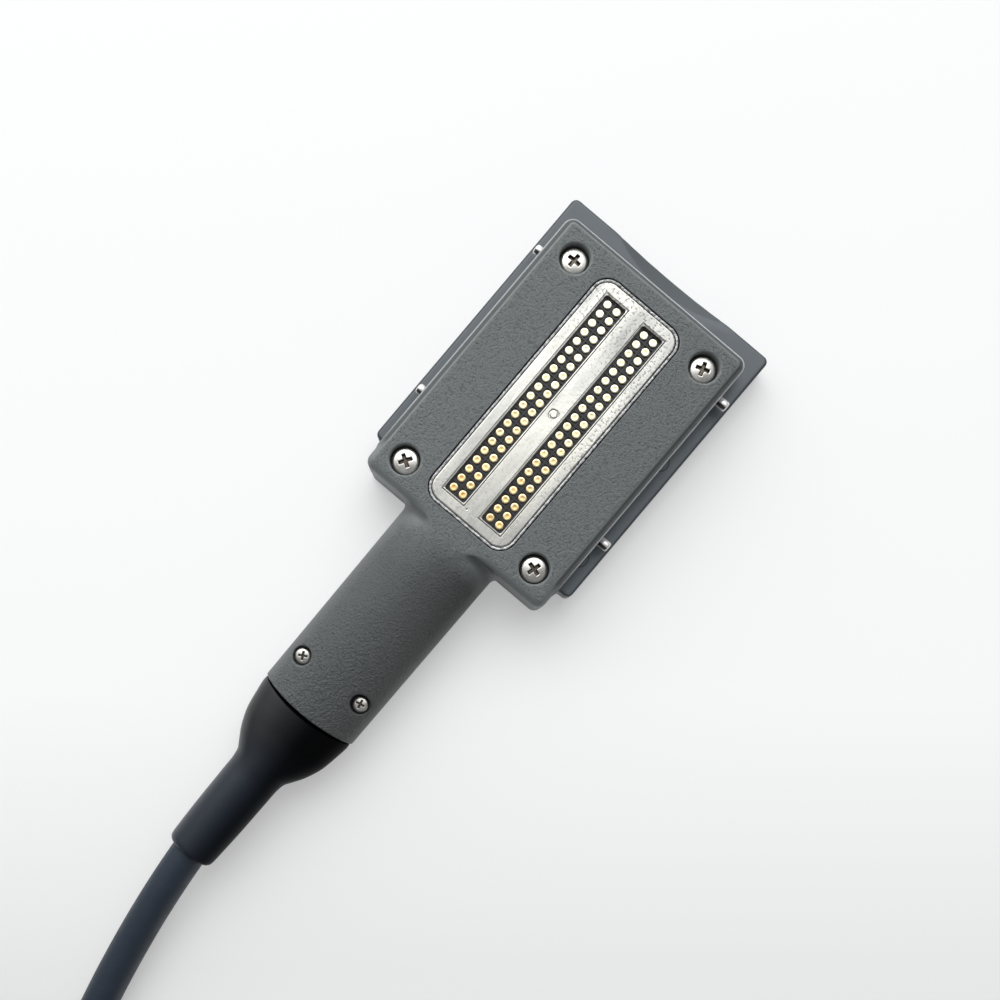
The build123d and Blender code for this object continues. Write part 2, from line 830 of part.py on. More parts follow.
# Ties: a flat strap round each side of the hank
with BuildPart() as hank_ties:
    tie_y = hank_near_y - tie_near_share * hank_straight
    for side, top in ((-1, hank_low_top), (1, hank_high_top)):
        bundle = sorted((hank_centre_x + side * hank_inner, hank_centre_x + side * hank_outer))
        block(
            (bundle[0] - tie_thickness, bundle[1] + tie_thickness),
            (tie_y - tie_width / 2, tie_y + tie_width / 2),
            (0, top + tie_thickness),
        )
        block(
            bundle,
            (tie_y - tie_width / 2, tie_y + tie_width / 2),
            (tie_thickness, top),
            Mode.SUBTRACT,
        )
finish(hank_ties, "hank_ties")


# Scan head housing: lofted halves, split along the middle plane
def head_form():
    """Adds the handle's lofted outer form."""
    sections = []
    for along, wide, thick in shell_shares:
        half_height = thick * head_half_thickness
        with BuildSketch(Plane.XZ.offset(along * head_shell_length - shell_start_y)) as section:
            with Locations((head_x, head_half_thickness)):
                RectangleRounded(
                    2 * wide * nose_half_width, 2 * half_height, nose_corner_share * half_height
                )
        sections.append(section.sketch)
    loft(sections)


post_places = [
    (head_x + side * (head_board_half_width - head_post_inset), y)
    for side in (-1, 1)
    for y in (head_board_near_y - head_post_inset, head_board_far_y + head_post_inset)
]
head_board_bottom = head_half_thickness - board_thickness / 2

with BuildPart() as head_space:
    for start_y, end_y, half_width, half_height in (
        (shell_start_y + overrun, head_board_near_y, head_mouth_half_width, head_mouth_half_width),
        (head_board_near_y, head_board_far_y, head_middle_half_width, head_middle_half_height),
        (head_board_far_y, shell_end_y - overrun, nose_tunnel_half_width, head_front_half_height),
    ):
        block(
            (head_x - half_width, head_x + half_width),
            (end_y, start_y),
            (head_half_thickness - half_height, head_half_thickness + half_height),
        )
    with BuildSketch(Plane.XY):
        with Locations(*post_places):
            Rectangle(head_post_width, head_post_width)
    extrude(amount=head_board_bottom, mode=Mode.SUBTRACT)
    with BuildSketch(Plane.XY.offset(head_board_bottom + board_thickness)):
        with Locations(*post_places):
            Rectangle(head_post_width, head_post_width)
    extrude(amount=head_half_thickness, mode=Mode.SUBTRACT)

with BuildPart() as head_lower_shell:
    head_form()
    split(bisect_by=Plane.XY.offset(head_half_thickness), keep=Keep.BOTTOM)
    add(head_space.part, mode=Mode.SUBTRACT)
finish(head_lower_shell, "head_lower_shell")

with BuildPart() as head_upper_shell:
    head_form()
    split(bisect_by=Plane.XY.offset(head_half_thickness), keep=Keep.TOP)
    add(head_space.part, mode=Mode.SUBTRACT)
finish(head_upper_shell, "head_upper_shell")


# Array parts: each is a section turned about the array's centre of curvature
def array_plane(angle):
    """Returns the upright plane through the centre of curvature, turned from -Y by the angle."""
    turn = math.radians(angle)
    return Plane(
        origin=(head_x, curvature_y, head_half_thickness),
        x_dir=(math.sin(turn), -math.cos(turn), 0),
        z_dir=(math.cos(turn), math.sin(turn), 0),
    )


def turned_block(inner, outer, half_height, half_angle, mode=Mode.ADD):
    """Adds or removes a curved block between two radii of the array."""
    with BuildSketch(array_plane(-half_angle)) as section:
        with Locations(((inner + outer) / 2, 0)):
            Rectangle(outer - inner, 2 * half_height)
    revolve(section.sketch, axis=curvature_axis, revolution_arc=2 * half_angle, mode=mode)


# Nose: collar in front of the handle that follows the array's curve and holds the lens
with BuildPart() as head_nose:
    with BuildSketch(Plane.XZ.offset(-shell_end_y)):
        with Locations((head_x, head_half_thickness)):
            RectangleRounded(2 * nose_half_width, 2 * nose_half_height, nose_corner_share * nose_half_height)
    extrude(amount=nose_length)
    with BuildSketch(Plane.XY):
        with Locations((head_x, curvature_y)):
            Circle(lens_radius - lens_stand_out)
    extrude(amount=2 * head_half_thickness, mode=Mode.INTERSECT)
    turned_block(
        array_radius - overrun,
        lens_radius + overrun,
        lens_half_height + seat_gap,
        lens_half_angle,
        Mode.SUBTRACT,
    )
    turned_block(
        backing_rear_radius - overrun,
        array_radius,
        array_half_height + array_pocket_gap,
        array_half_angle,
        Mode.SUBTRACT,
    )
    block(
        (head_x - nose_tunnel_half_width, head_x + nose_tunnel_half_width),
        (curvature_y - backing_rear_radius, shell_end_y + overrun),
        (head_half_thickness - array_half_height, head_half_thickness + array_half_height),
        Mode.SUBTRACT,
    )
    round_bar(
        shell_end_y,
        shell_end_y - index_rib_length,
        index_rib_radius,
        head_x + nose_half_width,
        head_half_thickness,
    )
finish(head_nose, "head_nose")

# Lens: curved block with a crowned front, turned about the array's centre of curvature
with BuildPart() as acoustic_lens:
    lens_shoulder = lens_radius - lens_crown
    with BuildSketch(array_plane(-lens_half_angle)):
        with BuildLine():
            Polyline(
                (lens_shoulder, lens_half_height),
                (array_radius, lens_half_height),
                (array_radius, -lens_half_height),
                (lens_shoulder, -lens_half_height),
            )
            ThreePointArc(
                (lens_shoulder, -lens_half_height), (lens_radius, 0), (lens_shoulder, lens_half_height)
            )
        make_face()
    revolve(axis=curvature_axis, revolution_arc=2 * lens_half_angle)
finish(acoustic_lens, "acoustic_lens")

# Element strip and backing block behind the lens
with BuildPart() as array_strip:
    turned_block(backing_radius, array_radius, array_half_height, array_half_angle)
finish(array_strip, "array_strip")

with BuildPart() as array_backing:
    turned_block(backing_rear_radius, backing_radius, array_half_height, array_half_angle)
finish(array_backing, "array_backing")

# Flexible strip from the backing to the head's board
with BuildPart() as array_flex:
    block(
        (head_x - flex_half_width, head_x + flex_half_width),
        (curvature_y - backing_rear_radius, head_board_far_y),
        (head_half_thickness - flex_thickness / 2, head_half_thickness + flex_thickness / 2),
    )
    with BuildSketch(Plane.XY):
        with Locations((head_x, curvature_y)):
            Circle(backing_rear_radius)
    extrude(amount=2 * head_half_thickness, mode=Mode.INTERSECT)
finish(array_flex, "array_flex")

# Board held between the posts of the two shells
with BuildPart() as head_board:
    block(
        (head_x - head_board_half_width, head_x + head_board_half_width),
        (head_board_far_y, head_board_near_y),
        (head_board_bottom, head_board_bottom + board_thickness),
    )
finish(head_board, "head_board")

# Ferrule, lead's end and wires inside the head
head_ferrule_y = shell_start_y - seat_gap
head_ferrule_end_y = head_ferrule_y - head_ferrule_length
with BuildPart() as head_ferrule:
    crimp_ferrule(
        head_ferrule_y,
        head_ferrule_length,
        head_ferrule_flange_radius,
        head_x,
        head_half_thickness,
    )
finish(head_ferrule, "head_ferrule")

with BuildPart() as head_lead_root:
    round_bar(head_tip_y, head_ferrule_end_y, lead_radius, head_x, head_half_thickness)
finish(head_lead_root, "head_lead_root")

head_wires = make_wires(
    head_board_near_y, head_half_thickness, head_ferrule_end_y, head_half_thickness, head_x
)
finish(head_wires, "head_wires")

# Boot of the scan head, with its mouth on the shells and its small end towards the lead
with BuildPart() as head_boot:
    boot_bell(
        shell_start_y + boot_gap,
        head_tip_y,
        shell_mouth_half_width,
        shell_mouth_half_height,
        head_boot_tip_radius,
        head_x,
        head_half_thickness,
    )
    round_bar(
        head_tip_y, shell_start_y, lead_radius, head_x, head_half_thickness, Mode.SUBTRACT
    )
finish(head_boot, "head_boot")
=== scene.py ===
import math

import bpy
import numpy as np
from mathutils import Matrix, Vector


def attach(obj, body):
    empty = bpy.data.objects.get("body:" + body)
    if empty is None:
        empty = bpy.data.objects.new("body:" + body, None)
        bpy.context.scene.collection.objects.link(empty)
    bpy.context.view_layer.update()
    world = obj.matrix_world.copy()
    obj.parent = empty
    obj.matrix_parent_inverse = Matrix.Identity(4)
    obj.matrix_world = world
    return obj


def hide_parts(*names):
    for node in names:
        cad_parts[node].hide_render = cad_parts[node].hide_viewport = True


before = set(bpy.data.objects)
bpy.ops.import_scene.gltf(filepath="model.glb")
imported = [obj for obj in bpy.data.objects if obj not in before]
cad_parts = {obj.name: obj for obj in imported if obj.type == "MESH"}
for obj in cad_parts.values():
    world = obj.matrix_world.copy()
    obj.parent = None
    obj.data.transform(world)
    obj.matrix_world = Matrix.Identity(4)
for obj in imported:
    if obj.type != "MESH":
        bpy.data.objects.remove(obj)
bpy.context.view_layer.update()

mm = 0.001

# Sizes in millimetres, as in the part's source
face_z, parting_z = 16.0, 8.0
body_half_width, body_front, body_rear = 24.9, 35.65, -34.0
body_centre, body_half_length = (body_front + body_rear) / 2, (body_front - body_rear) / 2
body_corner, body_edge, wall_inset = 2.4, 2.1, 0.24
plate_half_width, plate_half_length, plate_corner = 10.68, 29.7, 3.4
plate_foot, plate_top, window_inset = 14.62, 15.9, 0.7
pocket_half_width, pocket_half_length, pocket_corner, pocket_floor = 11.5, 30.5, 4.15, 14.6
slot_x, slot_half_width, slot_half_length = 5.08, 2.66, 26.78
contact_pitch, contact_rows, contact_foot = 2.54, 21, 14.95
neck_half_width, neck_end_half_width, neck_half_height = 12.45, 12.1, 7.95
neck_end, neck_root, neck_edge, neck_bow = -82.25, -20.0, 0.35, 1.15
tongue_half_width, tongue_centre, tongue_half_length, tongue_fillet = 3.0, -30.0, 28.0, 8.0
flange_half_width, flange_front, flange_rear, flange_corner = 28.0, 41.75, -26.9, 1.4
scoop_centre, scoop_radius = (0.0, 73.65, 99.39), 98.26
screw_places = [(sx * 18.0, y) for sx in (-1, 1) for y in (28.3, -27.7)]
neck_screw_places = [(sx * 8.1, -73.9) for sx in (-1, 1)]
screw_foot, neck_screw_foot, counterbore, neck_counterbore = 12.3, 10.5, 3.3, 2.15
pin_z, pin_sides = 11.0, 48
lead_diameter = 8.0
rng = np.random.default_rng(7)


# ---- node materials
def new_material(name, metallic=0.0):
    """Returns an empty node material with its tree and shader."""
    material = bpy.data.materials.new(name)
    material.use_nodes = True
    tree = material.node_tree
    tree.nodes.clear()
    out = tree.nodes.new("ShaderNodeOutputMaterial")
    shader = tree.nodes.new("ShaderNodeBsdfPrincipled")
    shader.inputs["Metallic"].default_value = metallic
    tree.links.new(shader.outputs["BSDF"], out.inputs["Surface"])
    return material, tree, shader


def tree_of(*values):
    """Returns the node tree of the first socket among some values."""
    return next(value.id_data for value in values if isinstance(value, bpy.types.NodeSocket))


def fill(socket, value):
    """Sets a socket from a number or a colour, or links another socket to it."""
    if isinstance(value, tuple):
        socket.default_value = (*value, 1)
    elif isinstance(value, (int, float)):
        socket.default_value = value
    elif value is not None:
        socket.id_data.links.new(value, socket)


def object_places(tree):
    """Returns the X and Y outputs of Object coordinates, in metres."""
    coords = tree.nodes.new("ShaderNodeTexCoord")
    parts = tree.nodes.new("ShaderNodeSeparateXYZ")
    tree.links.new(coords.outputs["Object"], parts.inputs["Vector"])
    return parts.outputs["X"], parts.outputs["Y"]


def point_shade(tree):
    """Returns the number that place_mesh keeps for each point."""
    node = tree.nodes.new("ShaderNodeAttribute")
    node.attribute_name = "shade"
    return node.outputs["Fac"]


def object_noise(tree, scale, detail=3.0, roughness=0.5, stretch=(1.0, 1.0, 1.0)):
    """Returns the value of a noise on Object coordinates, in metres."""
    coords = tree.nodes.new("ShaderNodeTexCoord")
    mapping = tree.nodes.new("ShaderNodeMapping")
    mapping.inputs["Scale"].default_value = stretch
    tree.links.new(coords.outputs["Object"], mapping.inputs["Vector"])
    node = tree.nodes.new("ShaderNodeTexNoise")
    node.inputs["Detail"].default_value = detail
    node.inputs["Roughness"].default_value = roughness
    node.inputs["Scale"].default_value = scale
    tree.links.new(mapping.outputs["Vector"], node.inputs["Vector"])
    return node.outputs["Fac"]


def ramp(value, low, high, low_value=0.0, high_value=1.0):
    """Returns a value carried from one range to another, clamped."""
    node = tree_of(value).nodes.new("ShaderNodeMapRange")
    for socket, number in zip(node.inputs, (value, low, high, low_value, high_value)):
        fill(socket, number)
    return node.outputs[0]


def maths(operation, first, *others):
    """Returns a maths operation carried along sockets or numbers, first to last."""
    for value in others or (None,):
        node = tree_of(first, value).nodes.new("ShaderNodeMath")
        node.operation = operation
        fill(node.inputs[0], first)
        fill(node.inputs[1], value)
        first = node.outputs[0]
    return first


def mixed(share, first, second, kind="RGBA", blend="MIX"):
    """Returns a mix of two colours, or of two values if the kind is FLOAT, by a share."""
    node = tree_of(share, first, second).nodes.new("ShaderNodeMix")
    node.data_type, node.blend_type = kind, blend
    fill(node.inputs["Factor"], share)
    fill(node.inputs["A"], first)
    fill(node.inputs["B"], second)
    return node.outputs["Result"]


def toned(colour, value):
    """Returns a colour times a value or another colour."""
    return mixed(1.0, colour, value, blend="MULTIPLY")


def add_bump(shader, height, distance, strength=1.0, below=None):
    """Puts a bump under the shader, on top of another bump if one is given, and returns it."""
    node = shader.id_data.nodes.new("ShaderNodeBump")
    fill(node.inputs["Strength"], strength)
    fill(node.inputs["Distance"], distance)
    fill(node.inputs["Height"], height)
    fill(node.inputs["Normal"], below)
    fill(shader.inputs["Normal"], node.outputs["Normal"])
    return node.outputs["Normal"]


def set_gloss(shader, noise, rough, rough_2):
    """Gives the shader an uneven gloss, from one roughness to another by a noise."""
    fill(shader.inputs["Roughness"], ramp(noise, 0.3, 0.7, rough, rough_2))


def plastic(name, colour, colour_2, rough, rough_2, grain, depth, specular=0.5):
    """Moulded plastic: two close colours in soft patches, an uneven gloss and a fine grain."""
    material, tree, shader = new_material(name)
    fill(shader.inputs["Base Color"], mixed(object_noise(tree, 18.0), colour, colour_2))
    set_gloss(shader, object_noise(tree, 162.0, 2.0), rough, rough_2)
    shader.inputs["Specular IOR Level"].default_value = specular
    if depth:
        add_bump(shader, object_noise(tree, grain, 2.0, 0.55), depth)
    return material


def metal(name, colour, colour_2, rough, rough_2, grain, depth):
    """Bare or plated metal: cloudy tarnish in colour and gloss over a fine grain."""
    material, tree, shader = new_material(name, 1.0)
    clouds = ramp(object_noise(tree, 90.0, 4.0), 0.35, 0.65)
    fill(shader.inputs["Base Color"], mixed(clouds, colour, colour_2))
    set_gloss(shader, object_noise(tree, 360.0, 3.0, 0.6), rough, rough_2)
    add_bump(shader, object_noise(tree, grain, 3.0, 0.6), depth)
    return material


def opened(material):
    """Returns a finish's tree, shader and base colour, so that more can be laid over them."""
    tree = material.node_tree
    shader = next(node for node in tree.nodes if node.type == "BSDF_PRINCIPLED")
    return tree, shader, shader.inputs["Base Color"].links[0].from_socket


# ---- meshes
def place_mesh(name, points, faces, material, node, shade=None):
    """Makes an object from points in millimetres and faces, with its place in its mesh.

    The shade is a number for each point, which its material reads as the attribute "shade".
    """
    mesh = bpy.data.meshes.new(name)
    points = np.asarray(points, dtype=np.float64).reshape(-1, 3) * mm
    mesh.from_pydata(points, [], faces.tolist() if isinstance(faces, np.ndarray) else faces)
    mesh.polygons.foreach_set("use_smooth", np.full(len(mesh.polygons), True))
    mesh.materials.append(material)
    if shade is not None:
        values = mesh.attributes.new("shade", "FLOAT", "POINT").data
        values.foreach_set("value", np.asarray(shade, dtype=np.float32))
    mesh.update()
    piece = bpy.data.objects.new(name, mesh)
    bpy.context.scene.collection.objects.link(piece)
    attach(piece, "root")
    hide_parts(node)
    return piece


def place_surface(name, surface, material, node, shade=None):
    """Makes an object from a level surface, shaded by its own normals."""
    points, quads, normals = surface
    piece = place_mesh(name, points, quads, material, node, shade)
    piece.data.normals_split_custom_set_from_vertices(normals)


def circle(count):
    """Angles of evenly spaced points round a circle."""
    return np.linspace(0, 2 * math.pi, count, endpoint=False)


def grid_faces(rows, columns, flip=False):
    """Quads of a stack of rings with their points laid out ring by ring."""
    i, j = np.meshgrid(np.arange(rows - 1), np.arange(columns), indexing="ij")
    k = (j + 1) % columns
    i, above = i * columns, (i + 1) * columns
    quads = np.stack([i + j, i + k, above + k, above + j], -1).reshape(-1, 4)
    return quads[:, ::-1] if flip else quads


def closed_tube(rings, flip=False):
    """Points and faces of a stack of closed rings (rows, columns, 3), with a fan at each end."""
    rows, columns = rings.shape[:2]
    points = np.concatenate([rings.reshape(-1, 3), rings[0].mean(0)[None], rings[-1].mean(0)[None]])
    quads = grid_faces(rows, columns, flip)
    j = np.arange(columns)
    k = (j + 1) % columns
    first = np.stack([np.full(columns, rows * columns), k, j], -1)
    last = (rows - 1) * columns
    last = np.stack([np.full(columns, rows * columns + 1), last + j, last + k], -1)
    if flip:
        first, last = first[:, ::-1], last[:, ::-1]
    return points, quads.tolist() + first.tolist() + last.tolist()


def join_parts(parts):
    """One set of points and faces from several."""
    points, faces, start = [], [], 0
    for part_points, part_faces in parts:
        points.append(np.asarray(part_points).reshape(-1, 3))
        rows = part_faces.tolist() if isinstance(part_faces, np.ndarray) else part_faces
        faces.extend([[start + k for k in face] for face in rows])
        start += len(points[-1])
    return np.concatenate(points), faces


# ---- distance fields
def length2(a, b):
    """Length of a two-part vector."""
    return np.sqrt(a * a + b * b)


def round_rect(x, y, half_width, half_length, corner):
    """Distance to a rectangle with round corners: length of the positive part outside the core."""
    qx, qy = np.abs(x) - half_width + corner, np.abs(y) - half_length + corner
    outside = length2(np.maximum(qx, 0), np.maximum(qy, 0))
    return outside + np.minimum(np.maximum(qx, qy), 0) - corner


def cut_round(a, b, radius):
    """Meeting of two distances with an edge rounded to the radius."""
    outer = length2(np.maximum(radius + a, 0), np.maximum(radius + b, 0))
    return np.minimum(-radius, np.maximum(a, b)) + outer


def join_round(a, b, radius):
    """Union of two distances with the inner corner filled to the radius."""
    inner = length2(np.maximum(radius - a, 0), np.maximum(radius - b, 0))
    return np.maximum(radius, np.minimum(a, b)) - inner


def ellipse_distance(x, z, half_width, half_height):
    """Distance to an ellipse, near enough: k0 (k0 - 1) / k1, k0 = |p / r| and k1 = |p / r^2|."""
    k0 = length2(x / half_width, z / half_height)
    k1 = length2(x / half_width**2, z / half_height**2)
    return k0 * (k0 - 1) / np.maximum(k1, 1e-9)


def level_surface(field, low, high, step):
    """Points and quads of the surface where the field is zero, and its outward normals.

    The field is sampled on a grid. Each cell that the surface crosses gets one point, the mean of
    the crossings on its edges, which is then moved along the gradient onto the surface, and each
    grid edge that the surface crosses gets one quad between the four cells around it.
    """
    axes = [np.arange(a - step, b + 2 * step, step) for a, b in zip(low, high)]
    x, y, z = np.meshgrid(*axes, indexing="ij", sparse=True)
    value = np.broadcast_to(field(x, y, z), tuple(len(a) for a in axes)).astype(np.float32)
    inside = value < 0
    shape = tuple(n - 1 for n in value.shape)
    corners = [(i, j, k) for i in (0, 1) for j in (0, 1) for k in (0, 1)]

    def at(array, corner):
        return array[tuple(slice(c, c + n) for c, n in zip(corner, shape))]

    count = sum(at(inside, c).astype(np.int8) for c in corners)
    cells = np.nonzero((count > 0) & (count < 8))
    number = np.full(shape, -1, dtype=np.int64)
    number[cells] = np.arange(len(cells[0]))
    total = np.zeros((len(cells[0]), 3))
    hits = np.zeros(len(cells[0]))
    for start in corners:
        for axis in range(3):
            if start[axis]:
                continue
            end = tuple(c + (a == axis) for a, c in enumerate(start))
            va, vb = at(value, start)[cells], at(value, end)[cells]
            crossed = (va < 0) != (vb < 0)
            share = np.where(crossed, va / np.where(crossed, va - vb, 1), 0)
            for a in range(3):
                total[:, a] += np.where(crossed, start[a] + (share if a == axis else 0), 0)
            hits += crossed
    points = np.stack([axes[a][cells[a]] for a in range(3)], -1) + total / hits[:, None] * step

    def gradient(p):
        e = step * 0.2
        rises = [field(*(p + e * a).T) - field(*(p - e * a).T) for a in np.eye(3)]
        return np.stack(rises, -1) / (2 * e)

    for _ in range(3):
        slope = gradient(points)
        size = np.maximum((slope**2).sum(-1), 0.2)
        move = np.clip(field(*points.T) / size, -step, step)
        points -= slope * move[:, None]
    quads = []
    for axis in range(3):
        b, c = (axis + 1) % 3, (axis + 2) % 3
        head, tail = [slice(None)] * 3, [slice(None)] * 3
        head[axis], tail[axis] = slice(0, -1), slice(1, None)
        here, ahead = inside[tuple(head)], inside[tuple(tail)]
        i = np.nonzero(here != ahead)
        keep = (i[b] > 0) & (i[c] > 0)
        i = [n[keep] for n in i]
        outward = here[tuple(i)]
        around = []
        for db, dc in ((0, 0), (1, 0), (1, 1), (0, 1)):
            j = list(i)
            j[b], j[c] = i[b] - 1 + db, i[c] - 1 + dc
            around.append(number[tuple(j)])
        q = np.stack(around, -1)
        q[~outward] = q[~outward][:, ::-1]
        quads.append(q)
    quads = np.concatenate(quads)
    slope = gradient(points)
    normals = slope / np.maximum(np.linalg.norm(slope, axis=1), 1e-9)[:, None]
    return points, quads[(quads >= 0).all(1)], normals


# ---- camera, light and floor
picture_down = (0.645, -0.764)  # the direction on the table that runs down the picture
scene = bpy.context.scene
scene.view_settings.view_transform = "Standard"
camera_data = bpy.data.cameras.new("camera")
camera_data.lens = 38.88
camera_data.sensor_width = 36.0
camera_data.shift_x = 0.04
camera_data.shift_y = 0.18
camera_data.clip_start = 0.01
camera = bpy.data.objects.new("camera", camera_data)
camera.location = (0.0212, -0.0560, 0.2456)
camera.rotation_euler = (0, 0, math.atan2(picture_down[0], -picture_down[1]))
scene.collection.objects.link(camera)
scene.camera = camera


def area_light(name, place, target, size, power, colour):
    """A soft rectangular lamp that points at a place."""
    data = bpy.data.lights.new(name, "AREA")
    data.shape = "RECTANGLE"
    data.size, data.size_y = size
    data.energy = power
    data.color = colour
    lamp = bpy.data.objects.new(name, data)
    lamp.location = place
    direction = Vector(target) - Vector(place)
    lamp.rotation_euler = direction.to_track_quat("-Z", "Y").to_euler()
    scene.collection.objects.link(lamp)


# The light comes from above, in front and on the left; the room is dark behind and on the right.
area_light("front_panel", (-0.40, 0.60, 0.95), (0, 0, 0), (1.15, 1.05), 6.5, (0.97, 0.99, 1.0))
area_light("window_light", (-0.80, 0.10, 0.60), (0, -0.03, 0), (0.8, 0.8), 1.9, (0.98, 1.0, 1.0))

world = bpy.data.worlds.new("studio")
scene.world = world
world.use_nodes = True
tree = world.node_tree
background = tree.nodes["Background"]
sky = tree.nodes.new("ShaderNodeTexCoord")
toward = tree.nodes.new("ShaderNodeVectorMath")
toward.operation = "DOT_PRODUCT"
toward.inputs[1].default_value = (-0.62, 0.55, 0.56)
tree.links.new(sky.outputs["Generated"], toward.inputs[0])
brightness = ramp(toward.outputs["Value"], 0.40, 0.95, 0.25, 1.34)
tree.links.new(brightness, background.inputs["Strength"])
background.inputs["Color"].default_value = (0.98, 0.99, 1.0, 1)

floor_material, tree, shader = new_material("table_white")
shader.inputs["Roughness"].default_value = 0.7
shader.inputs["Specular IOR Level"].default_value = 0.2
place_x, place_y = object_places(tree)
across = maths("MULTIPLY", place_x, picture_down[0])
away = maths("ADD", maths("MULTIPLY", place_y, picture_down[1]), across)
# Painted shade: the floor's colour darkens down the picture, standing in for the light's falloff.
falloff_grey = mixed(ramp(away, 0.060, 0.122), (0.99, 0.99, 0.99), (0.79, 0.79, 0.785))
clouds = mixed(object_noise(tree, 6.0, 2.0), (0.985, 0.985, 0.985), (1.0, 1.0, 0.995))
fill(shader.inputs["Base Color"], toned(falloff_grey, clouds))
# The camera and mirrors see the floor part way to white, which leaves a pale shadow.
path = tree.nodes.new("ShaderNodeLightPath")
rays = [path.outputs[ray] for ray in ("Is Camera Ray", "Is Glossy Ray", "Is Transmission Ray")]
white = tree.nodes.new("ShaderNodeEmission")
white.inputs["Color"].default_value = (1.0, 1.0, 0.995, 1)
blend = tree.nodes.new("ShaderNodeMixShader")
seen = maths("MAXIMUM", *rays)
tree.links.new(ramp(seen, 0.0, 1.0, 0.0, 0.35), blend.inputs[0])
tree.links.new(shader.outputs["BSDF"], blend.inputs[1])
tree.links.new(white.outputs["Emission"], blend.inputs[2])
floor_out = next(node for node in tree.nodes if node.type == "OUTPUT_MATERIAL")
tree.links.new(blend.outputs["Shader"], floor_out.inputs["Surface"])
floor_mesh = bpy.data.meshes.new("table")
floor_mesh.from_pydata([(-3, -3, 0), (3, -3, 0), (3, 3, 0), (-3, 3, 0)], [], [(0, 1, 2, 3)])
floor_mesh.materials.append(floor_material)
floor = bpy.data.objects.new("table", floor_mesh)
scene.collection.objects.link(floor)

# ---- lead
lead_material, tree, shader = new_material("lead_jacket_navy")
patches = object_noise(tree, 30.0)
fill(shader.inputs["Base Color"], mixed(patches, (0.012, 0.021, 0.034), (0.017, 0.028, 0.044)))
set_gloss(shader, object_noise(tree, 260.0), 0.42, 0.56)
add_bump(shader, object_noise(tree, 900.0, 2.0), 0.00006)

lead_start = [
    (0.0, -123.05, 8.0), (0.6, -130.5, 7.7), (2.6, -146.0, 5.5), (6.1, -163.5, 4.3),
    (11.6, -182.0, 4.7), (20.5, -199.0, 4.8), (26.5, -210.5, 4.8), (30.6, -222.0, 4.8),
]
lead_end = [
    (36.0, -286.0, 21.0), (35.5, -298.0, 21.2), (31.3, -313.5, 21.2), (23.4, -329.0, 21.4),
    (16.6, -343.5, 18.9), (13.1, -357.0, 14.4), (12.0, -370.0, 12.5),
]
hank_x, near_fold_y, far_fold_y, hank_turns, fold_step = 8.0, -214.0, -298.0, 4, 22.5

# A turn goes down the right side, round the far fold, up the left side and round the near fold.
# Its progress counts 1 for each of the four, and a fold has a point every 22.5 degrees.
straight = near_fold_y - far_fold_y
fold_angles = np.arange(-fold_step / 2, 192, fold_step)
left_places = (-274.0, -256.0, -247.0, -238.0, -229.0)
right_side = [("right", y, (near_fold_y - y) / straight) for y in (-238.0, -256.0, -274.0)]
far_fold = [("far", angle, 1 + angle / 180) for angle in fold_angles]
left_side = [("left", y, 2 + (y - far_fold_y) / straight) for y in left_places]
near_fold = [("near", angle, 3 + angle / 180) for angle in fold_angles]

# Radius and height of the strand against its progress, four to a turn
radius_knots = [
    (3.0, 24.0), (3.75, 32.0), (11.0, 32.0), (11.999, 32.0), (12.0, 24.0), (16.0, 24.0),
    (16.5, 28.0),
]
height_knots = [
    (3.06, 4.8), (3.5, 13.0), (3.6, 13.0), (4.1, 4.8), (6.95, 4.8), (7.5, 21.0), (7.6, 21.0),
    (8.1, 12.8), (14.56, 12.8), (14.95, 20.8),
]
inner_fold_turn, inner_fold_x, inner_fold_y, inner_fold_radius = 2, 4.0, -226.0, 28.0


def eased(knots, progress):
    """Value at a place between knots, each span eased by half a cosine."""
    places, values = (np.array(column) for column in zip(*knots))
    k = int(np.clip(np.searchsorted(places, progress, "right") - 1, 0, len(places) - 2))
    share = np.clip((progress - places[k]) / (places[k + 1] - places[k]), 0, 1)
    return float(values[k] + (values[k + 1] - values[k]) * (1 - math.cos(math.pi * share)) / 2)


def turn_point(turn, side, place, progress):
    """Control point of the hank; a fold's points lie outside it, so its line keeps its radius."""
    radius = eased(radius_knots, 4 * turn + progress)
    height = eased(height_knots, 4 * turn + progress)
    if side in ("right", "left"):
        return (hank_x + (radius if side == "right" else -radius), place, height)
    x, y = hank_x, near_fold_y
    if side == "near" and turn == inner_fold_turn:
        x, y, radius = inner_fold_x, inner_fold_y, inner_fold_radius
    radius /= math.cos(math.radians(fold_step / 2))
    angle = math.radians(place)
    if side == "far":
        return (hank_x + radius * math.cos(angle), far_fold_y - radius * math.sin(angle), height)
    return (x - radius * math.cos(angle), y + radius * math.sin(angle), height)


one_turn = right_side + far_fold + left_side + near_fold
lead_points = [turn_point(turn, *station) for turn in range(hank_turns) for station in one_turn]
lead_points += [turn_point(hank_turns, *station) for station in right_side]
lead_points = lead_start + lead_points + lead_end

lead_curve = bpy.data.curves.new("lead", "CURVE")
lead_curve.dimensions = "3D"
lead_curve.bevel_depth = lead_diameter / 2 * mm
lead_curve.bevel_resolution = 6
lead_curve.use_fill_caps = True
lead_curve.resolution_u = 6
spline = lead_curve.splines.new("NURBS")
spline.points.add(len(lead_points) - 1)
for point, place in zip(spline.points, lead_points):
    point.co = (*[c * mm for c in place], 1.0)
spline.order_u = 3
spline.use_endpoint_u = True
lead_curve.materials.append(lead_material)
lead = bpy.data.objects.new("lead", lead_curve)
scene.collection.objects.link(lead)
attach(lead, "root")
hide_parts("lead_tube", "lead_hank", "lead_tail")
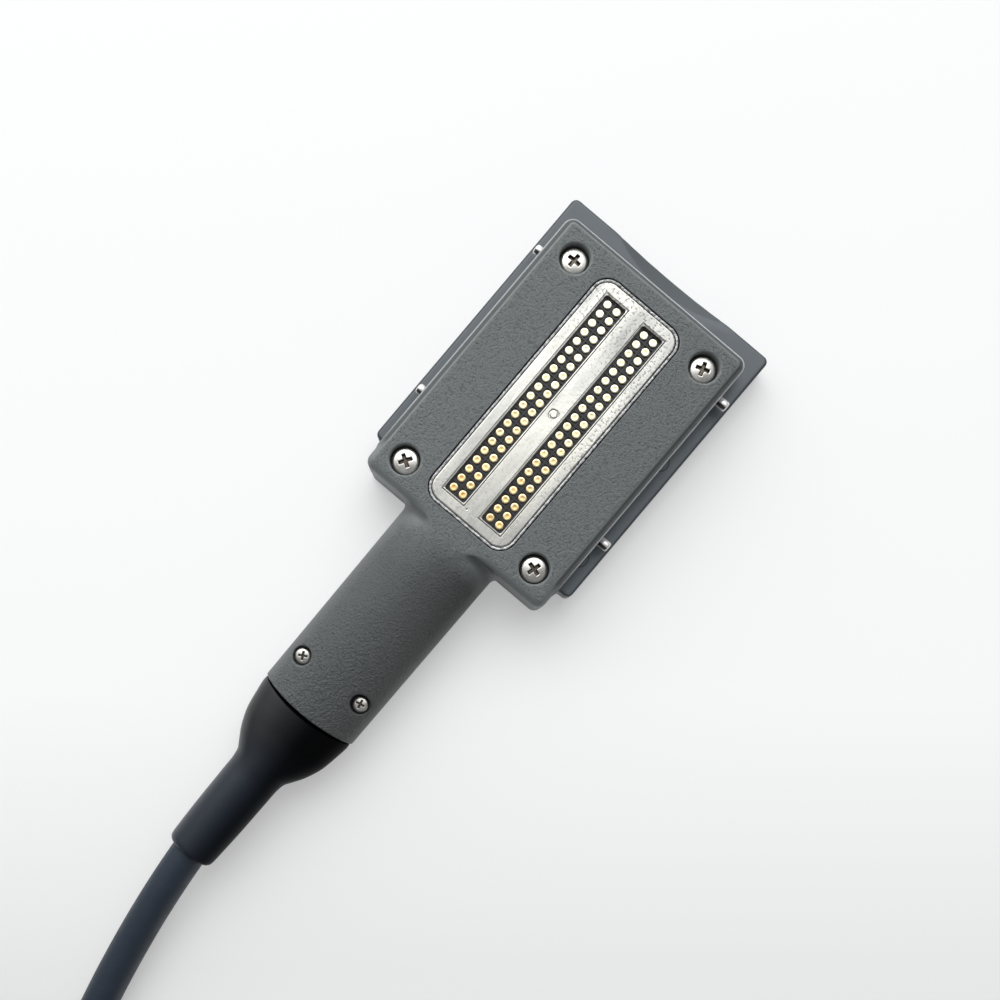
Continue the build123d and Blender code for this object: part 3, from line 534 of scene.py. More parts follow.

# ---- finishes
# Housing: grey patches, with pits where the shade asks for the moulded grain. Painted shade makes
# it darker on the neck, toward the right and on the neck's right flank, and paints a dark band
# where the shade is negative, along the rounded edge and in the two valleys beside the neck.
housing_grey, tree, shader = new_material("housing_grey")
place_x, place_y = object_places(tree)
shade = point_shade(tree)
grain_share = ramp(shade, 0.0, 1.0)
patches = mixed(object_noise(tree, 22.0, 4.0), (0.153, 0.168, 0.168), (0.172, 0.189, 0.188))
# Painted shade: the neck's right flank is darker, most near the plate.
neck_flank_shade = maths(
    "MULTIPLY", ramp(place_x, -0.005, 0.009, 0.0, 0.54),
    ramp(place_y, -0.035, -0.040), ramp(place_y, -0.062, -0.042, 0.9, 1.45),
)
# Painted shade: darker on the neck and toward the right, and on the neck's right flank.
painted_shade_tone = maths(
    "MULTIPLY", ramp(place_y, -0.033, -0.046, 1.0, 0.59),
    ramp(place_x, -0.024, 0.024, 1.05, 0.87), maths("SUBTRACT", 1.0, neck_flank_shade),
)
fine = object_noise(tree, 2100.0, 3.0, 0.65)
pits = mixed(grain_share, 1.0, ramp(fine, 0.33, 0.47, 0.38, 1.0), "FLOAT")
pitted = mixed(pits, (0.030, 0.032, 0.033), toned(patches, painted_shade_tone))
# Painted shade: a near-black band where the shade is negative, along the rounded edge and in the
# valleys.
edge_shade_share = ramp(shade, -0.1, -0.9)
fill(shader.inputs["Base Color"], mixed(edge_shade_share, pitted, (0.046, 0.052, 0.054)))
set_gloss(shader, fine, 0.40, 0.58)
shader.inputs["Specular IOR Level"].default_value = 0.75
leather = object_noise(tree, 1750.0, 2.0, 0.55, (1.0, 0.75, 1.0))
leather = maths("MULTIPLY", leather, ramp(place_y, -0.048, -0.074))
add_bump(shader, maths("ADD", fine, leather), 0.0006, grain_share)

# Cover: blue grey, with painted shade in the scoop and where the shade asks for it (the flange's
# upper rim), dark on two ring marks, and painted light on the flange beside the plate on the right.
cover_grey, tree, shader = new_material("cover_blue_grey")
place_x, place_y = object_places(tree)
patches = mixed(object_noise(tree, 18.0), (0.094, 0.110, 0.122), (0.106, 0.123, 0.136))
mark_x, mark_places_y, mark_radius = 0.0238, (0.009, -0.0185), 0.0021
ring_marks = []
for mark_y in mark_places_y:
    off_x = maths("SUBTRACT", place_x, mark_x)
    off_y = maths("SUBTRACT", place_y, mark_y)
    squares = [maths("MULTIPLY", off, off) for off in (off_x, off_y)]
    reach = maths("SQRT", maths("ADD", *squares))
    off_ring = maths("SUBTRACT", reach, mark_radius)
    ring_marks.append(maths("ABSOLUTE", off_ring))
ring_line = ramp(maths("MINIMUM", *ring_marks), 0.00006, 0.00022, 0.75, 0.0)
# Painted shade: the scoop's hollow is darker, up to a crisp edge.
scoop_reach = tree.nodes.new("ShaderNodeVectorMath")
scoop_reach.operation = "DISTANCE"
scoop_reach.inputs[1].default_value = [c * mm for c in scoop_centre]
tree.links.new(tree.nodes.new("ShaderNodeTexCoord").outputs["Object"], scoop_reach.inputs[0])
scoop_shade_share = ramp(scoop_reach.outputs["Value"], 0.09830, 0.09836, 0.38, 0.0)
# The ring marks and the painted shade take the colour toward near black.
shade_and_mark_share = maths("MAXIMUM", point_shade(tree), ring_line, scoop_shade_share)
# Painted light: the flange beside the plate on the right is lightened where the plate shades it.
painted_fill_share = maths(
    "MULTIPLY", ramp(place_x, 0.0235, 0.0262, 0.0, 0.55),
    ramp(place_y, 0.037, 0.028),
)
fill_lit = toned(patches, maths("ADD", painted_fill_share, 1.0))
fill(shader.inputs["Base Color"], mixed(shade_and_mark_share, fill_lit, (0.010, 0.013, 0.014)))
set_gloss(shader, object_noise(tree, 160.0, 2.0), 0.40, 0.48)
add_bump(shader, object_noise(tree, 1500.0, 2.0, 0.55), 0.00002)

# Contact frame: cloudy cast metal, specked at the front, with a pressed line round the slots.
# Painted shade darkens the pressed line and both ends of the frame.
frame_silver, tree, shader = new_material("frame_die_cast", 1.0)
place_x, place_y = object_places(tree)
beside = maths("SUBTRACT", maths("ABSOLUTE", place_x), slot_x * mm)
beside = maths("SUBTRACT", maths("ABSOLUTE", beside), slot_half_width * mm)
beyond = maths("SUBTRACT", maths("ABSOLUTE", place_y), slot_half_length * mm)
slot_line = tree.nodes.new("ShaderNodeValToRGB")
stops = slot_line.color_ramp.elements
for place in (0.22, 0.30, 0.42, 0.52, 0.60):
    stops.new(place)
for stop, level in zip(stops, (0.62, 0.66, 0.30, 0.22, 0.46, 0.5, 0.5)):
    stop.color = (level, level, level, 1)
slot_gap = maths("MAXIMUM", beside, beyond)
tree.links.new(ramp(slot_gap, 0.0, 0.001), slot_line.inputs["Fac"])
line = slot_line.outputs["Color"]
clouds = ramp(object_noise(tree, 130.0, 5.0, 0.65, (1.0, 0.22, 1.0)), 0.36, 0.62)
speck = object_noise(tree, 1700.0, 3.0, 0.6)
front, rear = ramp(place_y, 0.006, 0.027), ramp(place_y, -0.006, -0.026)
right_edge = maths(
    "MULTIPLY", ramp(place_x, 0.0078, 0.0088),
    ramp(place_y, -0.022, -0.004, 0.0, 0.9),
)
speck_place = maths("MAXIMUM", right_edge, ramp(front, 0.0, 1.0, 0.22, 1.0))
speck_level = maths("MULTIPLY", ramp(speck, 0.38, 0.47, 1.0, 0.0), speck_place, 0.9)
# Painted shade: the cast metal is darker toward both ends, more at the front.
end_shade_share = maths(
    "MAXIMUM", maths("MULTIPLY", rear, 0.62), maths("MULTIPLY", front, 0.85)
)
cast = mixed(
    end_shade_share, mixed(clouds, (0.46, 0.455, 0.43), (0.74, 0.725, 0.655)),
    mixed(clouds, (0.26, 0.26, 0.255), (0.56, 0.55, 0.51)),
)
specked = mixed(speck_level, cast, (0.16, 0.15, 0.14))
# Painted shade: the colour darkens in the pressed line's groove; the line also drives a bump.
fill(shader.inputs["Base Color"], toned(specked, ramp(line, 0.2, 0.5, 0.30, 1.0)))
set_gloss(shader, object_noise(tree, 300.0, 3.0, 0.6, (1.0, 0.2, 1.0)), 0.24, 0.40)
rough_cast = add_bump(shader, speck, 0.00005, 0.6)
add_bump(shader, line, 0.0004, 1.0, rough_cast)

# Contacts: a painted reflection, pale gold at the rim and redder at the core, both paler toward the
# front.
contact_gold, tree, shader = new_material("contact_gold", 1.0)
along = ramp(object_places(tree)[1], -0.026, 0.012)
rim_reflection_tone = mixed(along, (0.84, 0.66, 0.36), (0.80, 0.75, 0.56))
core_reflection_tone = mixed(along, (0.80, 0.42, 0.12), (0.82, 0.66, 0.34))
fill(shader.inputs["Base Color"], mixed(point_shade(tree), rim_reflection_tone, core_reflection_tone))
set_gloss(shader, object_noise(tree, 700.0), 0.20, 0.36)
add_bump(shader, object_noise(tree, 1500.0, 2.0), 0.00003)

# Screws and pins: the shade paints shade in the screws' cross recesses and a dark stripe of painted
# reflection along each pin.
nickel = metal("screw_nickel", (0.60, 0.58, 0.54), (0.78, 0.76, 0.72), 0.22, 0.40, 700.0, 0.00002)
steel = metal("pin_steel", (0.80, 0.79, 0.77), (0.92, 0.91, 0.89), 0.07, 0.14, 600.0, 0.000002)
for finish, dark in ((nickel, (0.10, 0.085, 0.07)), (steel, (0.012, 0.012, 0.012))):
    tree, shader, plated = opened(finish)
    fill(shader.inputs["Base Color"], mixed(point_shade(tree), plated, dark))
opened(steel)[1].inputs["Metallic"].default_value = 0.35
brass = metal("ferrule_brass", (0.72, 0.52, 0.24), (0.82, 0.62, 0.30), 0.3, 0.4, 600.0, 0.00001)

# Boot: black bell and navy sleeve, with painted shade that darkens it to the right, a painted
# shadow in the dark gap along the housing's bow and a painted sheen stronger on the left.
boot_black = plastic(
    "boot_rubber", (0.0062, 0.0066, 0.0076), (0.0086, 0.0092, 0.0106), 0.30, 0.38, 1200.0,
    0.00002, specular=0.3,
)
tree, shader, bell_tone = opened(boot_black)
place_x, place_y = object_places(tree)
sleeve_share = ramp(place_y, -0.090, -0.104)
sleeved = mixed(sleeve_share, bell_tone, (0.0215, 0.0275, 0.0375))
square = maths("MULTIPLY", place_x, place_x)
bow = maths("MULTIPLY", square, 7.4)
from_end = maths("SUBTRACT", bow, 0.0834, place_y)
gap_width = maths("SUBTRACT", 0.00075, maths("MULTIPLY", square, 4.2))
open_share = ramp(maths("SUBTRACT", from_end, gap_width), -0.0001, 0.0002)
# Painted shadow: the gap where the boot meets the housing's bowed end is near black.
gap_shadowed = mixed(open_share, (0.0006, 0.0006, 0.0006), sleeved)
# Painted shade: the colour darkens toward the right.
fill(shader.inputs["Base Color"], toned(gap_shadowed, ramp(place_x, -0.0005, 0.0042, 1.0, 0.30)))
# Painted sheen: the specular level falls from left to right, and is nil in the gap.
painted_sheen = maths("MULTIPLY", ramp(place_x, -0.008, 0.003, 0.52, 0.04), open_share)
tree.links.new(painted_sheen, shader.inputs["Specular IOR Level"])

# Seal: flecked grey glue, black as painted shade where the shade asks for it.
seal_grey, tree, shader = new_material("seal_grey")
flecks = object_noise(tree, 1400.0)
glue = mixed(ramp(flecks, 0.36, 0.64), (0.24, 0.24, 0.24), (0.78, 0.78, 0.78))
fill(shader.inputs["Base Color"], mixed(point_shade(tree), glue, (0.010, 0.010, 0.010)))
set_gloss(shader, flecks, 0.10, 0.25)
shader.inputs["Specular IOR Level"].default_value = 0.9
add_bump(shader, flecks, 0.00006)

# Lip: pale grey as a painted reflection of the white table, dimmer on the left and toward its ends.
lip_reflection_grey = plastic("lip_painted_reflection", (0.44, 0.46, 0.47), (0.52, 0.54, 0.55), 0.30, 0.40, 900.0, 0.0)
tree, shader, lip_reflection_tone = opened(lip_reflection_grey)
place_x, place_y = object_places(tree)
reflection_fade = maths(
    "MULTIPLY", ramp(place_x, -0.026, 0.010, 0.82, 1.0),
    ramp(place_y, -0.030, -0.018, 0.35, 1.0),
)
fill(shader.inputs["Base Color"], toned(lip_reflection_tone, reflection_fade))

plain_plastics = {
    "insulator_black": ((0.010, 0.010, 0.011), (0.016, 0.016, 0.018), 0.35, 0.5, 800.0, 0.00002),
    "board_green": ((0.02, 0.10, 0.05), (0.03, 0.13, 0.06), 0.3, 0.4, 500.0, 0.00001),
    "wire_bundle_grey": ((0.2, 0.2, 0.22), (0.3, 0.3, 0.32), 0.5, 0.6, 900.0, 0.0002),
    "tie_black": ((0.012, 0.012, 0.013), (0.02, 0.02, 0.021), 0.8, 0.95, 1800.0, 0.0002),
    "head_pale_grey": ((0.50, 0.51, 0.51), (0.56, 0.57, 0.57), 0.38, 0.48, 1400.0, 0.00003),
    "nose_dark_grey": ((0.10, 0.11, 0.13), (0.12, 0.13, 0.15), 0.36, 0.46, 900.0, 0.00002),
    "lens_rubber": ((0.035, 0.038, 0.045), (0.05, 0.054, 0.062), 0.28, 0.36, 700.0, 0.00001),
    "array_ceramic": ((0.45, 0.40, 0.30), (0.5, 0.45, 0.35), 0.6, 0.7, 900.0, 0.00002),
    "flex_amber": ((0.40, 0.22, 0.05), (0.45, 0.26, 0.07), 0.25, 0.35, 900.0, 0.0),
}
plain = {name: plastic(name, *values) for name, values in plain_plastics.items()}
for material, *node_names in (
    (plain["insulator_black"], "insulator_left", "insulator_right"),
    (plain["board_green"], "contact_board", "head_board"),
    (plain["wire_bundle_grey"], "wire_fan", "head_wires"),
    (plain["tie_black"], "hank_ties"), (plain["nose_dark_grey"], "head_nose"),
    (plain["lens_rubber"], "acoustic_lens"), (plain["array_ceramic"], "array_strip"),
    (plain["flex_amber"], "array_flex"), (boot_black, "array_backing"),
    (brass, "lead_ferrule", "head_ferrule"), (lead_material, "lead_root", "head_lead_root"),
):
    for node_name in node_names:
        for slot_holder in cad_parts[node_name].material_slots:
            slot_holder.material = material


# ---- housing
def hole_field(x, y, z, places, radius, bottom):
    """Distance to upright round holes that stop at a flat bottom."""
    nearest = np.minimum.reduce([length2(x - px, y - py) - radius for px, py in places])
    return np.maximum(nearest, bottom - z)


def body_outline(x, y):
    """Distance to the outline of the housing's plate."""
    return round_rect(x, y - body_centre, body_half_width, body_half_length, body_corner)


def neck_side_field(x, y, z):
    """Distance to the side of the neck, an oval that narrows toward its end."""
    share = np.clip((y - body_rear) / (neck_end - body_rear), 0, 1)
    half_width = neck_half_width + share * (neck_end_half_width - neck_half_width)
    return ellipse_distance(x, z - parting_z, half_width, neck_half_height)


def body_field(x, y, z):
    """Distance to the housing's plate with its rounded edge, and to the neck, without the holes.

    The plate's outline has a tongue that runs down the neck's crest with wide fillets, so the face
    flows into the neck, and the two join with a fillet that widens with the depth below the face.
    """
    tongue_end = np.abs(y - tongue_centre) - tongue_half_length
    tongue = np.maximum(np.abs(x) - tongue_half_width, tongue_end)
    outline = join_round(body_outline(x, y), tongue, tongue_fillet)
    plate = cut_round(outline + wall_inset, z - face_z, body_edge)
    bow = neck_bow * (1 - (x / neck_end_half_width) ** 2)
    neck = cut_round(neck_side_field(x, y, z), neck_end - bow - y, neck_edge)
    neck = np.maximum(neck, y - neck_root)
    fillet = np.clip(0.3 + 0.45 * (face_z - z), 0.3, 1.8)
    return join_round(plate, neck, fillet)


def housing_field(x, y, z):
    """The plate and neck, less the frame's pocket, the window and the screws' counterbores."""
    pocket = round_rect(x, y, pocket_half_width, pocket_half_length, pocket_corner)
    pocket = np.maximum(pocket, pocket_floor - z)
    window = [size - window_inset for size in (plate_half_width, plate_half_length, plate_corner)]
    corner_bores = hole_field(x, y, z, screw_places, counterbore, screw_foot)
    neck_bores = hole_field(x, y, z, neck_screw_places, neck_counterbore, neck_screw_foot)
    solid = cut_round(body_field(x, y, z), -pocket, 0.22)
    solid = np.maximum(solid, -round_rect(x, y, *window))
    solid = cut_round(solid, -corner_bores, 0.55)
    solid = cut_round(solid, -neck_bores, 0.45)
    return np.maximum(solid, parting_z - z)


neck_reach = neck_end - 1.2  # the grid starts past the bowed end
surface = level_surface(
    housing_field, (-body_half_width, neck_reach, parting_z), (body_half_width, body_front, face_z),
    0.36,
)
# How much of the moulded grain a point shows: none on the rounded edge, in holes and by the flange.
(x, y, z), rise = surface[0].T, surface[2][:, 2]
near_corner_bores = hole_field(x, y, z, screw_places, counterbore + 0.4, 0.0)
near_neck_bores = hole_field(x, y, z, neck_screw_places, neck_counterbore + 0.25, 0.0)
near_hole = np.minimum(near_corner_bores, near_neck_bores) < 0
on_neck = np.clip((body_rear - y) / 5, 0, 1)
upright = np.clip((rise - 0.86) / 0.12, 0, 1)
side_grain = np.clip((rise - 0.50) / 0.30, 0.15, 1)
grain = np.where(near_hole, 0, upright * (1 - on_neck) + side_grain * on_neck)
# Painted shade: the rounded edge is darker along the sides and front, and in the two valleys beside
# the neck.
right_valley_shade = np.clip((x - 2.5) / 1.5, 0, 1) * np.clip((12.8 - x) / 1.5, 0, 1)
left_valley_shade = 0.6 * np.clip((-x - 5.0) / 2.0, 0, 1) * np.clip((14.0 + x) / 1.5, 0, 1)
valley_shade = (right_valley_shade + left_valley_shade) * np.clip((body_rear + 0.9 - y) / 1.0, 0, 1)
edge_shade_strength = np.maximum(np.clip((y - body_rear - 4.5) / 3.0, 0.12, 1), valley_shade)
edge_shade = np.where(near_hole, 0, (1 - upright) * edge_shade_strength * (1 - on_neck))
place_surface("housing", surface, housing_grey, "front_shell", grain - edge_shade)


def rounded_outline(half_width, half_length, corner, count):
    """Points and outward directions round a rectangle with round corners, evenly spaced."""
    straight_x, straight_y = 2 * (half_width - corner), 2 * (half_length - corner)
    arc = corner * math.pi / 2
    total = 2 * (straight_x + straight_y) + 4 * arc
    s = np.linspace(0, total, count, endpoint=False)
    px, py, nx, ny = (np.zeros(count) for _ in range(4))
    start = 0.0
    for k, (side_x, side_y) in enumerate([(1, 1), (-1, 1), (-1, -1), (1, -1)]):
        run = straight_y if k % 2 == 0 else straight_x
        cx, cy = side_x * (half_width - corner), side_y * (half_length - corner)
        base = k * math.pi / 2
        on = (s >= start) & (s < start + run)
        along = s[on] - start - run
        px[on] = cx + corner * math.cos(base) - along * math.sin(base)
        py[on] = cy + corner * math.sin(base) + along * math.cos(base)
        nx[on], ny[on] = math.cos(base), math.sin(base)
        start += run
        on = (s >= start) & (s < start + arc)
        turn = base + (s[on] - start) / corner
        px[on], py[on] = cx + corner * np.cos(turn), cy + corner * np.sin(turn)
        nx[on], ny[on] = np.cos(turn), np.sin(turn)
        start += arc
    return px, py, nx, ny


def make_lip():
    """Fine pale bead along the housing's sides and front, where its rounded edge ends.

    Its pale colour is a painted reflection of the white table.
    """
    px, py, nx, ny = rounded_outline(body_half_width, body_half_length, body_corner, 1400)
    # It starts at the rear of the right side and goes round the front to the rear of the left.
    on = py + body_centre > body_rear + 3.2
    px, py, nx, ny = px[on], py[on] + body_centre, nx[on], ny[on]
    from_end = np.minimum(np.arange(len(px)), np.arange(len(px))[::-1])
    end = np.clip(from_end / 12, 0.02, 1)
    deep = 0.50
    rows = []
    for inset, z in (
        (deep, 13.80), (0.02, 13.90), (0.0, 14.05), (0.01, 14.22), (0.05, 14.29), (deep, 14.33),
    ):
        off = deep + (inset - deep) * end
        rows.append(np.column_stack([px - nx * off, py - ny * off, np.full(len(px), z)]))
    points, faces = closed_tube(np.stack(rows, axis=1), flip=True)
    place_mesh("housing_lip", points, faces, lip_reflection_grey, "front_shell")


make_lip()


# ---- rear cover
def cover_field(x, y, z):
    """Back half: flange with a finger scoop cut by a sphere, the housing's back, half the neck."""
    centre, half_length = (flange_front + flange_rear) / 2, (flange_front - flange_rear) / 2
    flange = round_rect(x, y - centre, flange_half_width, half_length, flange_corner)
    back = body_outline(x, y) + 0.32 * np.clip((-27.5 - y) / 1.5, 0, 1)
    plate = join_round(cut_round(flange, z - parting_z, 0.7), back + 0.02, 0.8)
    plate = cut_round(plate, -z, 1.3)
    neck = cut_round(neck_side_field(x, y, z), neck_end - y, neck_edge)
    neck = np.maximum(neck, y - neck_root)
    solid = np.maximum(join_round(plate, neck, 2.0), -z)
    sx, sy, sz = scoop_centre
    scoop = scoop_radius - np.sqrt((x - sx) ** 2 + (y - sy) ** 2 + (z - sz) ** 2)
    return np.maximum(cut_round(solid, scoop, 0.55), z - parting_z)


surface = level_surface(
    cover_field, (-flange_half_width, neck_end, 0.0), (flange_half_width, flange_front, parting_z),
    0.4,
)
# Painted shade: the shade attribute darkens the flange's upper rim, where it turns away from the
# light.
(x, y, z), rise = surface[0].T, surface[2][:, 2]
on_flange = np.clip((y - flange_rear + 1.5) / 1.0, 0, 1)
rim_shade = np.clip((0.93 - rise) / 0.25, 0, 1) * np.clip((z - 5.9) / 0.6, 0, 1) * on_flange
place_surface("cover", surface, cover_grey, "rear_cover", rim_shade)

# ---- guide pins
pin_profile = [
    (22.0, 1.0), (24.0, 1.0), (24.02, 1.19), (26.75, 1.19), (27.0, 1.15), (27.2, 1.04),
    (27.33, 0.84), (27.38, 0.4),
]
pin_shoulder = 24.1


def make_pin(name, side, py, less):
    """Round pin along X with a rounded end; its dark stripe is a painted reflection of the wall."""
    angle = circle(pin_sides)
    rings = []
    for px, r in pin_profile:
        px = np.full(pin_sides, side * (px - less * (px > pin_shoulder)))
        y, z = py + side * r * np.sin(angle), pin_z + r * np.cos(angle)
        rings.append(np.column_stack([px, y, z]))
    points, faces = closed_tube(np.stack(rings), flip=True)
    tilt = np.degrees(np.arctan2(-(points[:, 1] - py), points[:, 2] - pin_z))
    # Painted reflection: a dark stripe where the pin would mirror the wall beside it.
    dark_reflection_belt = np.clip((tilt - 14) / 8, 0, 1) * np.clip((68 - tilt) / 10, 0, 1)
    dark_reflection_belt = 0.95 * dark_reflection_belt * (np.abs(points[:, 0]) < 27.1 - less)
    place_mesh(name, points, faces, steel, name, dark_reflection_belt)


make_pin("guide_pin_front_left", -1, 26.2, 0.6)
make_pin("guide_pin_front_right", 1, 26.5, 0.0)
make_pin("guide_pin_rear_left", -1, -13.3, 0.6)
make_pin("guide_pin_rear_right", 1, -13.3, 0.0)


# ---- contact frame
def plate_field(x, y, z):
    """Cast plate with a soft outer edge, two slots, a ring round its middle and a small pit."""
    outline = round_rect(x, y, plate_half_width, plate_half_length, plate_corner)
    slots = round_rect(np.abs(x) - slot_x, y, slot_half_width, slot_half_length, 0.5)
    solid = cut_round(cut_round(outline, z - plate_top, 0.28), -slots, 0.12)
    over = z - plate_top - 0.05
    ring = length2(length2(x, y) - 0.95, over) - 0.22
    pit = length2(length2(x + 1.06, y + 27.25) * 0.6, over) - 0.14
    solid = np.maximum(np.maximum(solid, -ring), -pit)
    return np.maximum(solid, plate_foot - z)


surface = level_surface(
    plate_field, (-plate_half_width, -plate_half_length, plate_foot),
    (plate_half_width, plate_half_length, plate_top), 0.24,
)
place_surface("contact_plate", surface, frame_silver, "contact_frame")


# ---- screws
def dome_height(across, radius, height):
    """Height of a screw's domed face at a distance from its axis."""
    return height - 0.16 * across**2 / radius


def screw_field(radius, height, arm_length, arm_width, depth, turn):
    """Returns the field of a domed round head with a tapered cross recess, about its own foot."""
    c, s = math.cos(turn), math.sin(turn)

    def field(x, y, z):
        across = length2(x, y)
        head = cut_round(across - radius, z - dome_height(across, radius, height), 0.45)
        head = np.maximum(head, -z)
        u, v = np.abs(c * x + s * y), np.abs(-s * x + c * y)
        taper = (height - z) * 0.42
        arm_u = np.maximum(v - arm_width + taper * 0.3, u - arm_length + taper)
        arm_v = np.maximum(u - arm_width + taper * 0.3, v - arm_length + taper)
        centre = across - arm_width * 1.45 + taper
        recess = np.maximum(np.minimum(np.minimum(arm_u, arm_v), centre), height - depth - z)
        return cut_round(head, -recess, 0.06)

    return field


def make_screws(name, node, places, foot_z, radius, height, cross, turns, step, shank):
    """A group of cross-recessed pan heads on plain shanks.

    The cross is its arms' length, width and depth, and the shank its radius and lower end.
    """
    parts, shades = [], []
    shank_radius, shank_end = shank
    angle = circle(24)
    for (px, py), turn in zip(places, turns):
        field = screw_field(radius, height, *cross, turn)
        p, q, _ = level_surface(field, (-radius, -radius, 0), (radius, radius, height), step)
        across = length2(p[:, 0], p[:, 1])
        # Painted shade: points sunk below the dome in the cross recess are darker.
        recess_shade = np.clip((dome_height(across, radius, height) - p[:, 2] - 0.06) / 0.3, 0, 1)
        shades.append(np.where(across < cross[0] * 1.08, recess_shade, 0))
        parts.append((p + np.array([px, py, foot_z]), q))
        ring = [px + shank_radius * np.cos(angle), py + shank_radius * np.sin(angle)]
        ends = [np.column_stack([*ring, np.full(24, z)]) for z in (shank_end, foot_z + 0.2)]
        parts.append(closed_tube(np.stack(ends)))
        shades.append(np.zeros(len(parts[-1][0])))
    points, faces = join_parts(parts)
    place_mesh(name, points, faces, nickel, node, np.concatenate(shades))


make_screws(
    "corner_screws", "shell_screws", screw_places, screw_foot, 2.95, 2.5, (1.62, 0.42, 0.95),
    (-0.03, 1.016, 0.318, 1.31), 0.12, (1.5, 3.4),
)
make_screws(
    "neck_end_screws", "neck_screws", neck_screw_places, neck_screw_foot, 1.80, 2.0,
    (1.05, 0.24, 0.6), (0.5, 0.2), 0.075, (1.0, 4.1),
)

# ---- contacts
contact_core = 0.62
contact_profile = [
    (0.93, 0.0), (0.93, 0.36), (0.90, 0.44), (0.84, 0.48), (contact_core, 0.495), (0.42, 0.485),
    (0.2, 0.46),
]


def make_contacts(name, node, middle_x):
    """Round pads, each a profile from its foot over a round shoulder to a slightly domed face."""
    angle = circle(24)
    rings = [
        np.column_stack([r * np.cos(angle), r * np.sin(angle), np.full(24, z)])
        for r, z in contact_profile
    ]
    p, f = closed_tube(np.stack(rings))
    parts, shades = [], []
    # Painted reflection: each pad's core turns toward the redder colour, at a random strength per
    # pad.
    core_reflection = np.clip((contact_core - length2(p[:, 0], p[:, 1])) / 0.3, 0, 1)
    for row in range(contact_rows):
        for column in (-0.5, 0.5):
            y = (row - contact_rows // 2) * contact_pitch
            lean = rng.normal(0, 0.012, 2)
            tilted = p + [middle_x + column * contact_pitch, y, contact_foot]
            tilted[:, 2] += np.where(p[:, 2] > 0, p[:, 0] * lean[0] + p[:, 1] * lean[1], 0)
            parts.append((tilted, f))
            shades.append(core_reflection * rng.uniform(0.55, 1.0))
    points, faces = join_parts(parts)
    place_mesh(name, points, faces, contact_gold, node, np.concatenate(shades))


make_contacts("gold_contacts_left", "contacts_left", -slot_x)
make_contacts("gold_contacts_right", "contacts_right", slot_x)


# ---- seal
def make_seal():
    """Bead round the frame: a half-round section carried round it, lumpier at the front."""
    count = 900
    px, py, nx, ny = rounded_outline(11.03, 30.05, 3.72, count)
    front = np.clip((py - 5) / 22, 0, 1)
    lumps = rng.normal(0, 1, count)
    kernel = np.hanning(5) / np.hanning(5).sum()
    lumps = np.convolve(np.concatenate([lumps, lumps, lumps]), kernel, "same")[count : 2 * count]
    height = 0.24 + lumps * (0.04 + 0.15 * front)
    width = 0.27 + 0.03 * np.roll(lumps, 40)
    # Each row of the section: how far out it lies, how high and how dark it is. The rows down in
    # the gaps beside the bead and its lower sides are painted black as shade, and the outer side of
    # its lumps at the rear is darker.
    section = [(off, z, 1.0) for off, z in ((0.47, 14.8), (0.45, 15.2), (0.33, 15.42))]
    for a in np.linspace(0, math.pi, 9):
        dark = float(math.sin(a) < 0.3) + 0.55 * (a < 1.2) * (lumps > 0.3) * (1 - front)
        section.append((width * math.cos(a), 15.66 + height * math.sin(a), dark))
    section += [(off, z, 1.0) for off, z in ((-0.30, 15.45), (-0.36, 15.2), (-0.38, 14.8))]
    rows = [
        np.column_stack([px + nx * off, py + ny * off, np.broadcast_to(z, count)])
        for off, z, _ in section
    ]
    shade = np.clip(np.stack([np.broadcast_to(dark, count) for _, _, dark in section]), 0, 1)
    # The first row again closes the section, and its points are then shared.
    quads = grid_faces(len(rows) + 1, count) % (len(rows) * count)
    shade = shade.ravel()
    place_mesh("seal_bead", np.stack(rows), quads, seal_grey, "frame_seal", shade)


make_seal()


# ---- boots
def ring_stack(stations, x, z, columns):
    """Rings of ellipses along Y, each from (y, half width, half height)."""
    c, s = np.cos(circle(columns)), np.sin(circle(columns))
    rings = [
        np.column_stack([x + half_width * c, np.full(columns, y), z + half_height * s])
        for y, half_width, half_height in stations
    ]
    return np.stack(rings)


def smooth_profile(profile, count):
    """The profile's values on an even run of its own chord length, by cubic Hermite spans."""
    length = np.concatenate([[0], np.cumsum(np.linalg.norm(np.diff(profile, axis=0), axis=1))])
    slope = np.gradient(profile, length, axis=0)
    s = np.linspace(0, length[-1], count)
    k = np.clip(np.searchsorted(length, s) - 1, 0, len(length) - 2)
    h = (length[k + 1] - length[k])[:, None]
    t = ((s - length[k]) / (length[k + 1] - length[k]))[:, None]
    a, b, ma, mb = profile[k], profile[k + 1], slope[k] * h, slope[k + 1] * h
    ends = (2 * t**3 - 3 * t**2 + 1) * a + (3 * t**2 - 2 * t**3) * b
    return ends + (t**3 - 2 * t**2 + t) * ma + (t**3 - t**2) * mb


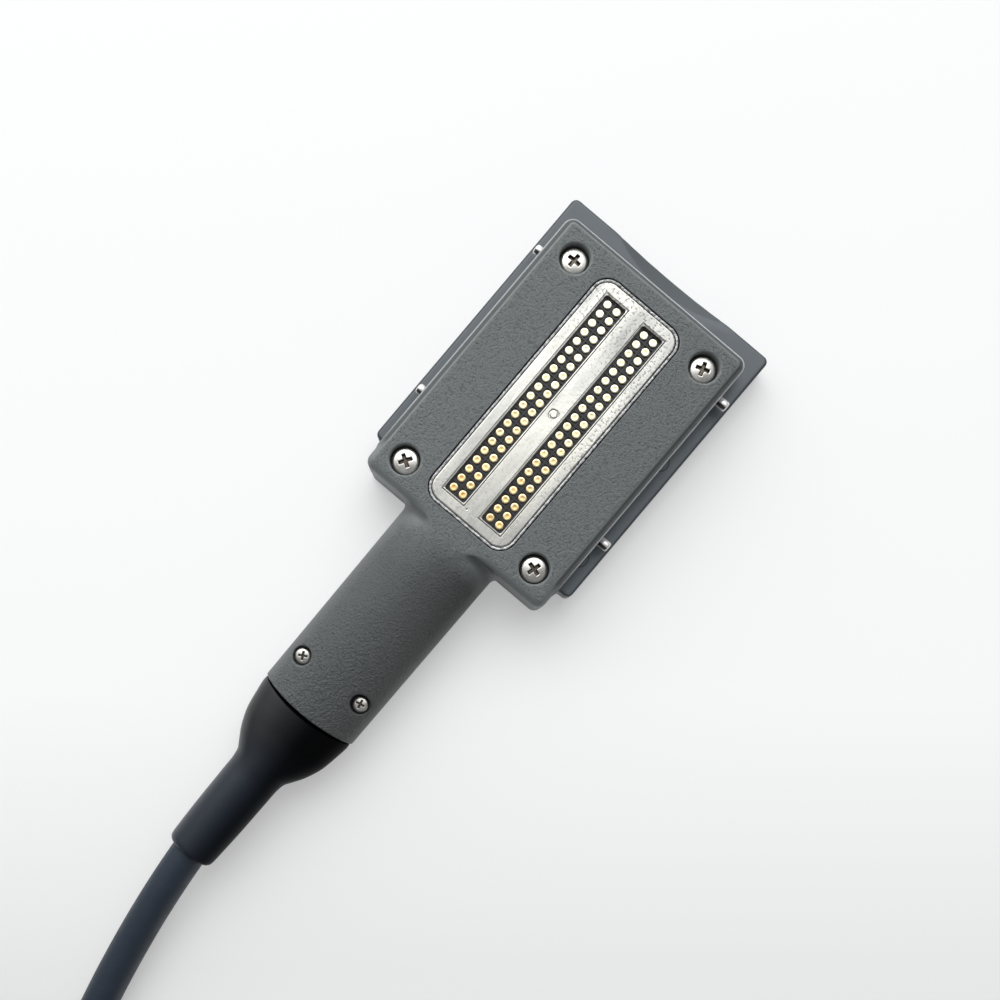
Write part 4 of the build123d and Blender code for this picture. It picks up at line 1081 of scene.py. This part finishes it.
boot_profile = np.array([
    (-82.35, 11.60, 7.30), (-82.6, 11.75, 7.45), (-83.3, 11.85, 7.5), (-84.5, 11.75, 7.46),
    (-86.2, 11.5, 7.35), (-88.4, 11.15, 7.2), (-90.6, 10.7, 7.02), (-92.8, 9.9, 6.85),
    (-95.0, 8.85, 6.6), (-97.15, 7.5, 6.4), (-98.7, 6.55, 6.3), (-100.5, 6.2, 6.15),
    (-104.0, 6.1, 6.1), (-112.5, 5.95, 5.95), (-119.0, 5.72, 5.72), (-121.6, 5.6, 5.6),
    (-122.4, 5.45, 5.45), (-122.85, 5.1, 5.1), (-123.05, 4.6, 4.6), (-123.05, 4.05, 4.05),
])
smooth_part, crisp_end = np.split(boot_profile, [16])
stations = np.concatenate([smooth_profile(smooth_part, 110), crisp_end])
points, faces = closed_tube(ring_stack(stations, 0, parting_z, 120))
place_mesh("boot", points, faces, boot_black, "connector_boot")

# ---- scan head
head_x, head_z = 12.0, 12.5
head_boot_profile = np.array([
    (-395.95, 10.9, 9.55), (-394.8, 11.0, 9.65), (-391.3, 10.7, 9.4), (-386.0, 9.9, 8.9),
    (-382.0, 8.9, 8.2), (-378.5, 7.7, 7.3), (-375.0, 6.6, 6.5), (-371.5, 5.9, 5.85),
    (-370.3, 5.5, 5.5), (-370.0, 5.0, 5.0),
])
rings = ring_stack(smooth_profile(head_boot_profile, 70), head_x, head_z, 96)
points, faces = closed_tube(rings, flip=True)
place_mesh("head_boot_cover", points, faces, boot_black, "head_boot")

# The handle runs from its neck at Y -396 to its widest place at Y -471.
handle_profile = np.array([
    (0.0, 11.0, 9.6), (8.0, 13.6, 10.9), (15.6, 15.2, 11.65), (26.0, 16.3, 12.2),
    (35.1, 17.2, 12.42), (43.0, 18.2, 12.44), (51.5, 19.6, 12.3), (58.5, 22.2, 12.05),
    (65.5, 25.9, 11.65), (72.0, 29.0, 11.3), (78.0, 31.0, 11.0),
]) * [-75 / 78, 1, 1] + [-396.0, 0, 0]


def half_shell(name, node, upper):
    """Half of the handle: superellipse rings from one side over the top or bottom to the other."""
    turn = np.linspace(0, math.pi, 61) * (1 if upper else -1)
    c, s = np.cos(turn), np.sin(turn)
    gap = 0.12 if upper else -0.12
    rows = []
    for y, half_width, half_height in smooth_profile(handle_profile, 90):
        px = head_x + half_width * np.sign(c) * np.abs(c) ** 0.8
        pz = head_z + gap + (half_height - abs(gap)) * np.sign(s) * np.abs(s) ** 0.8
        rows.append(np.column_stack([px, np.full(61, y), pz]))
    outer = np.stack(rows)
    flat = outer[:, ::-1][:, 1:-1] * [1, 1, 0] + [0, 0, head_z + gap]
    points, faces = closed_tube(np.concatenate([outer, flat], axis=1), flip=not upper)
    place_mesh(name, points, faces, plain["head_pale_grey"], node)


half_shell("handle_upper", "head_upper_shell", True)
half_shell("handle_lower", "head_lower_shell", False)
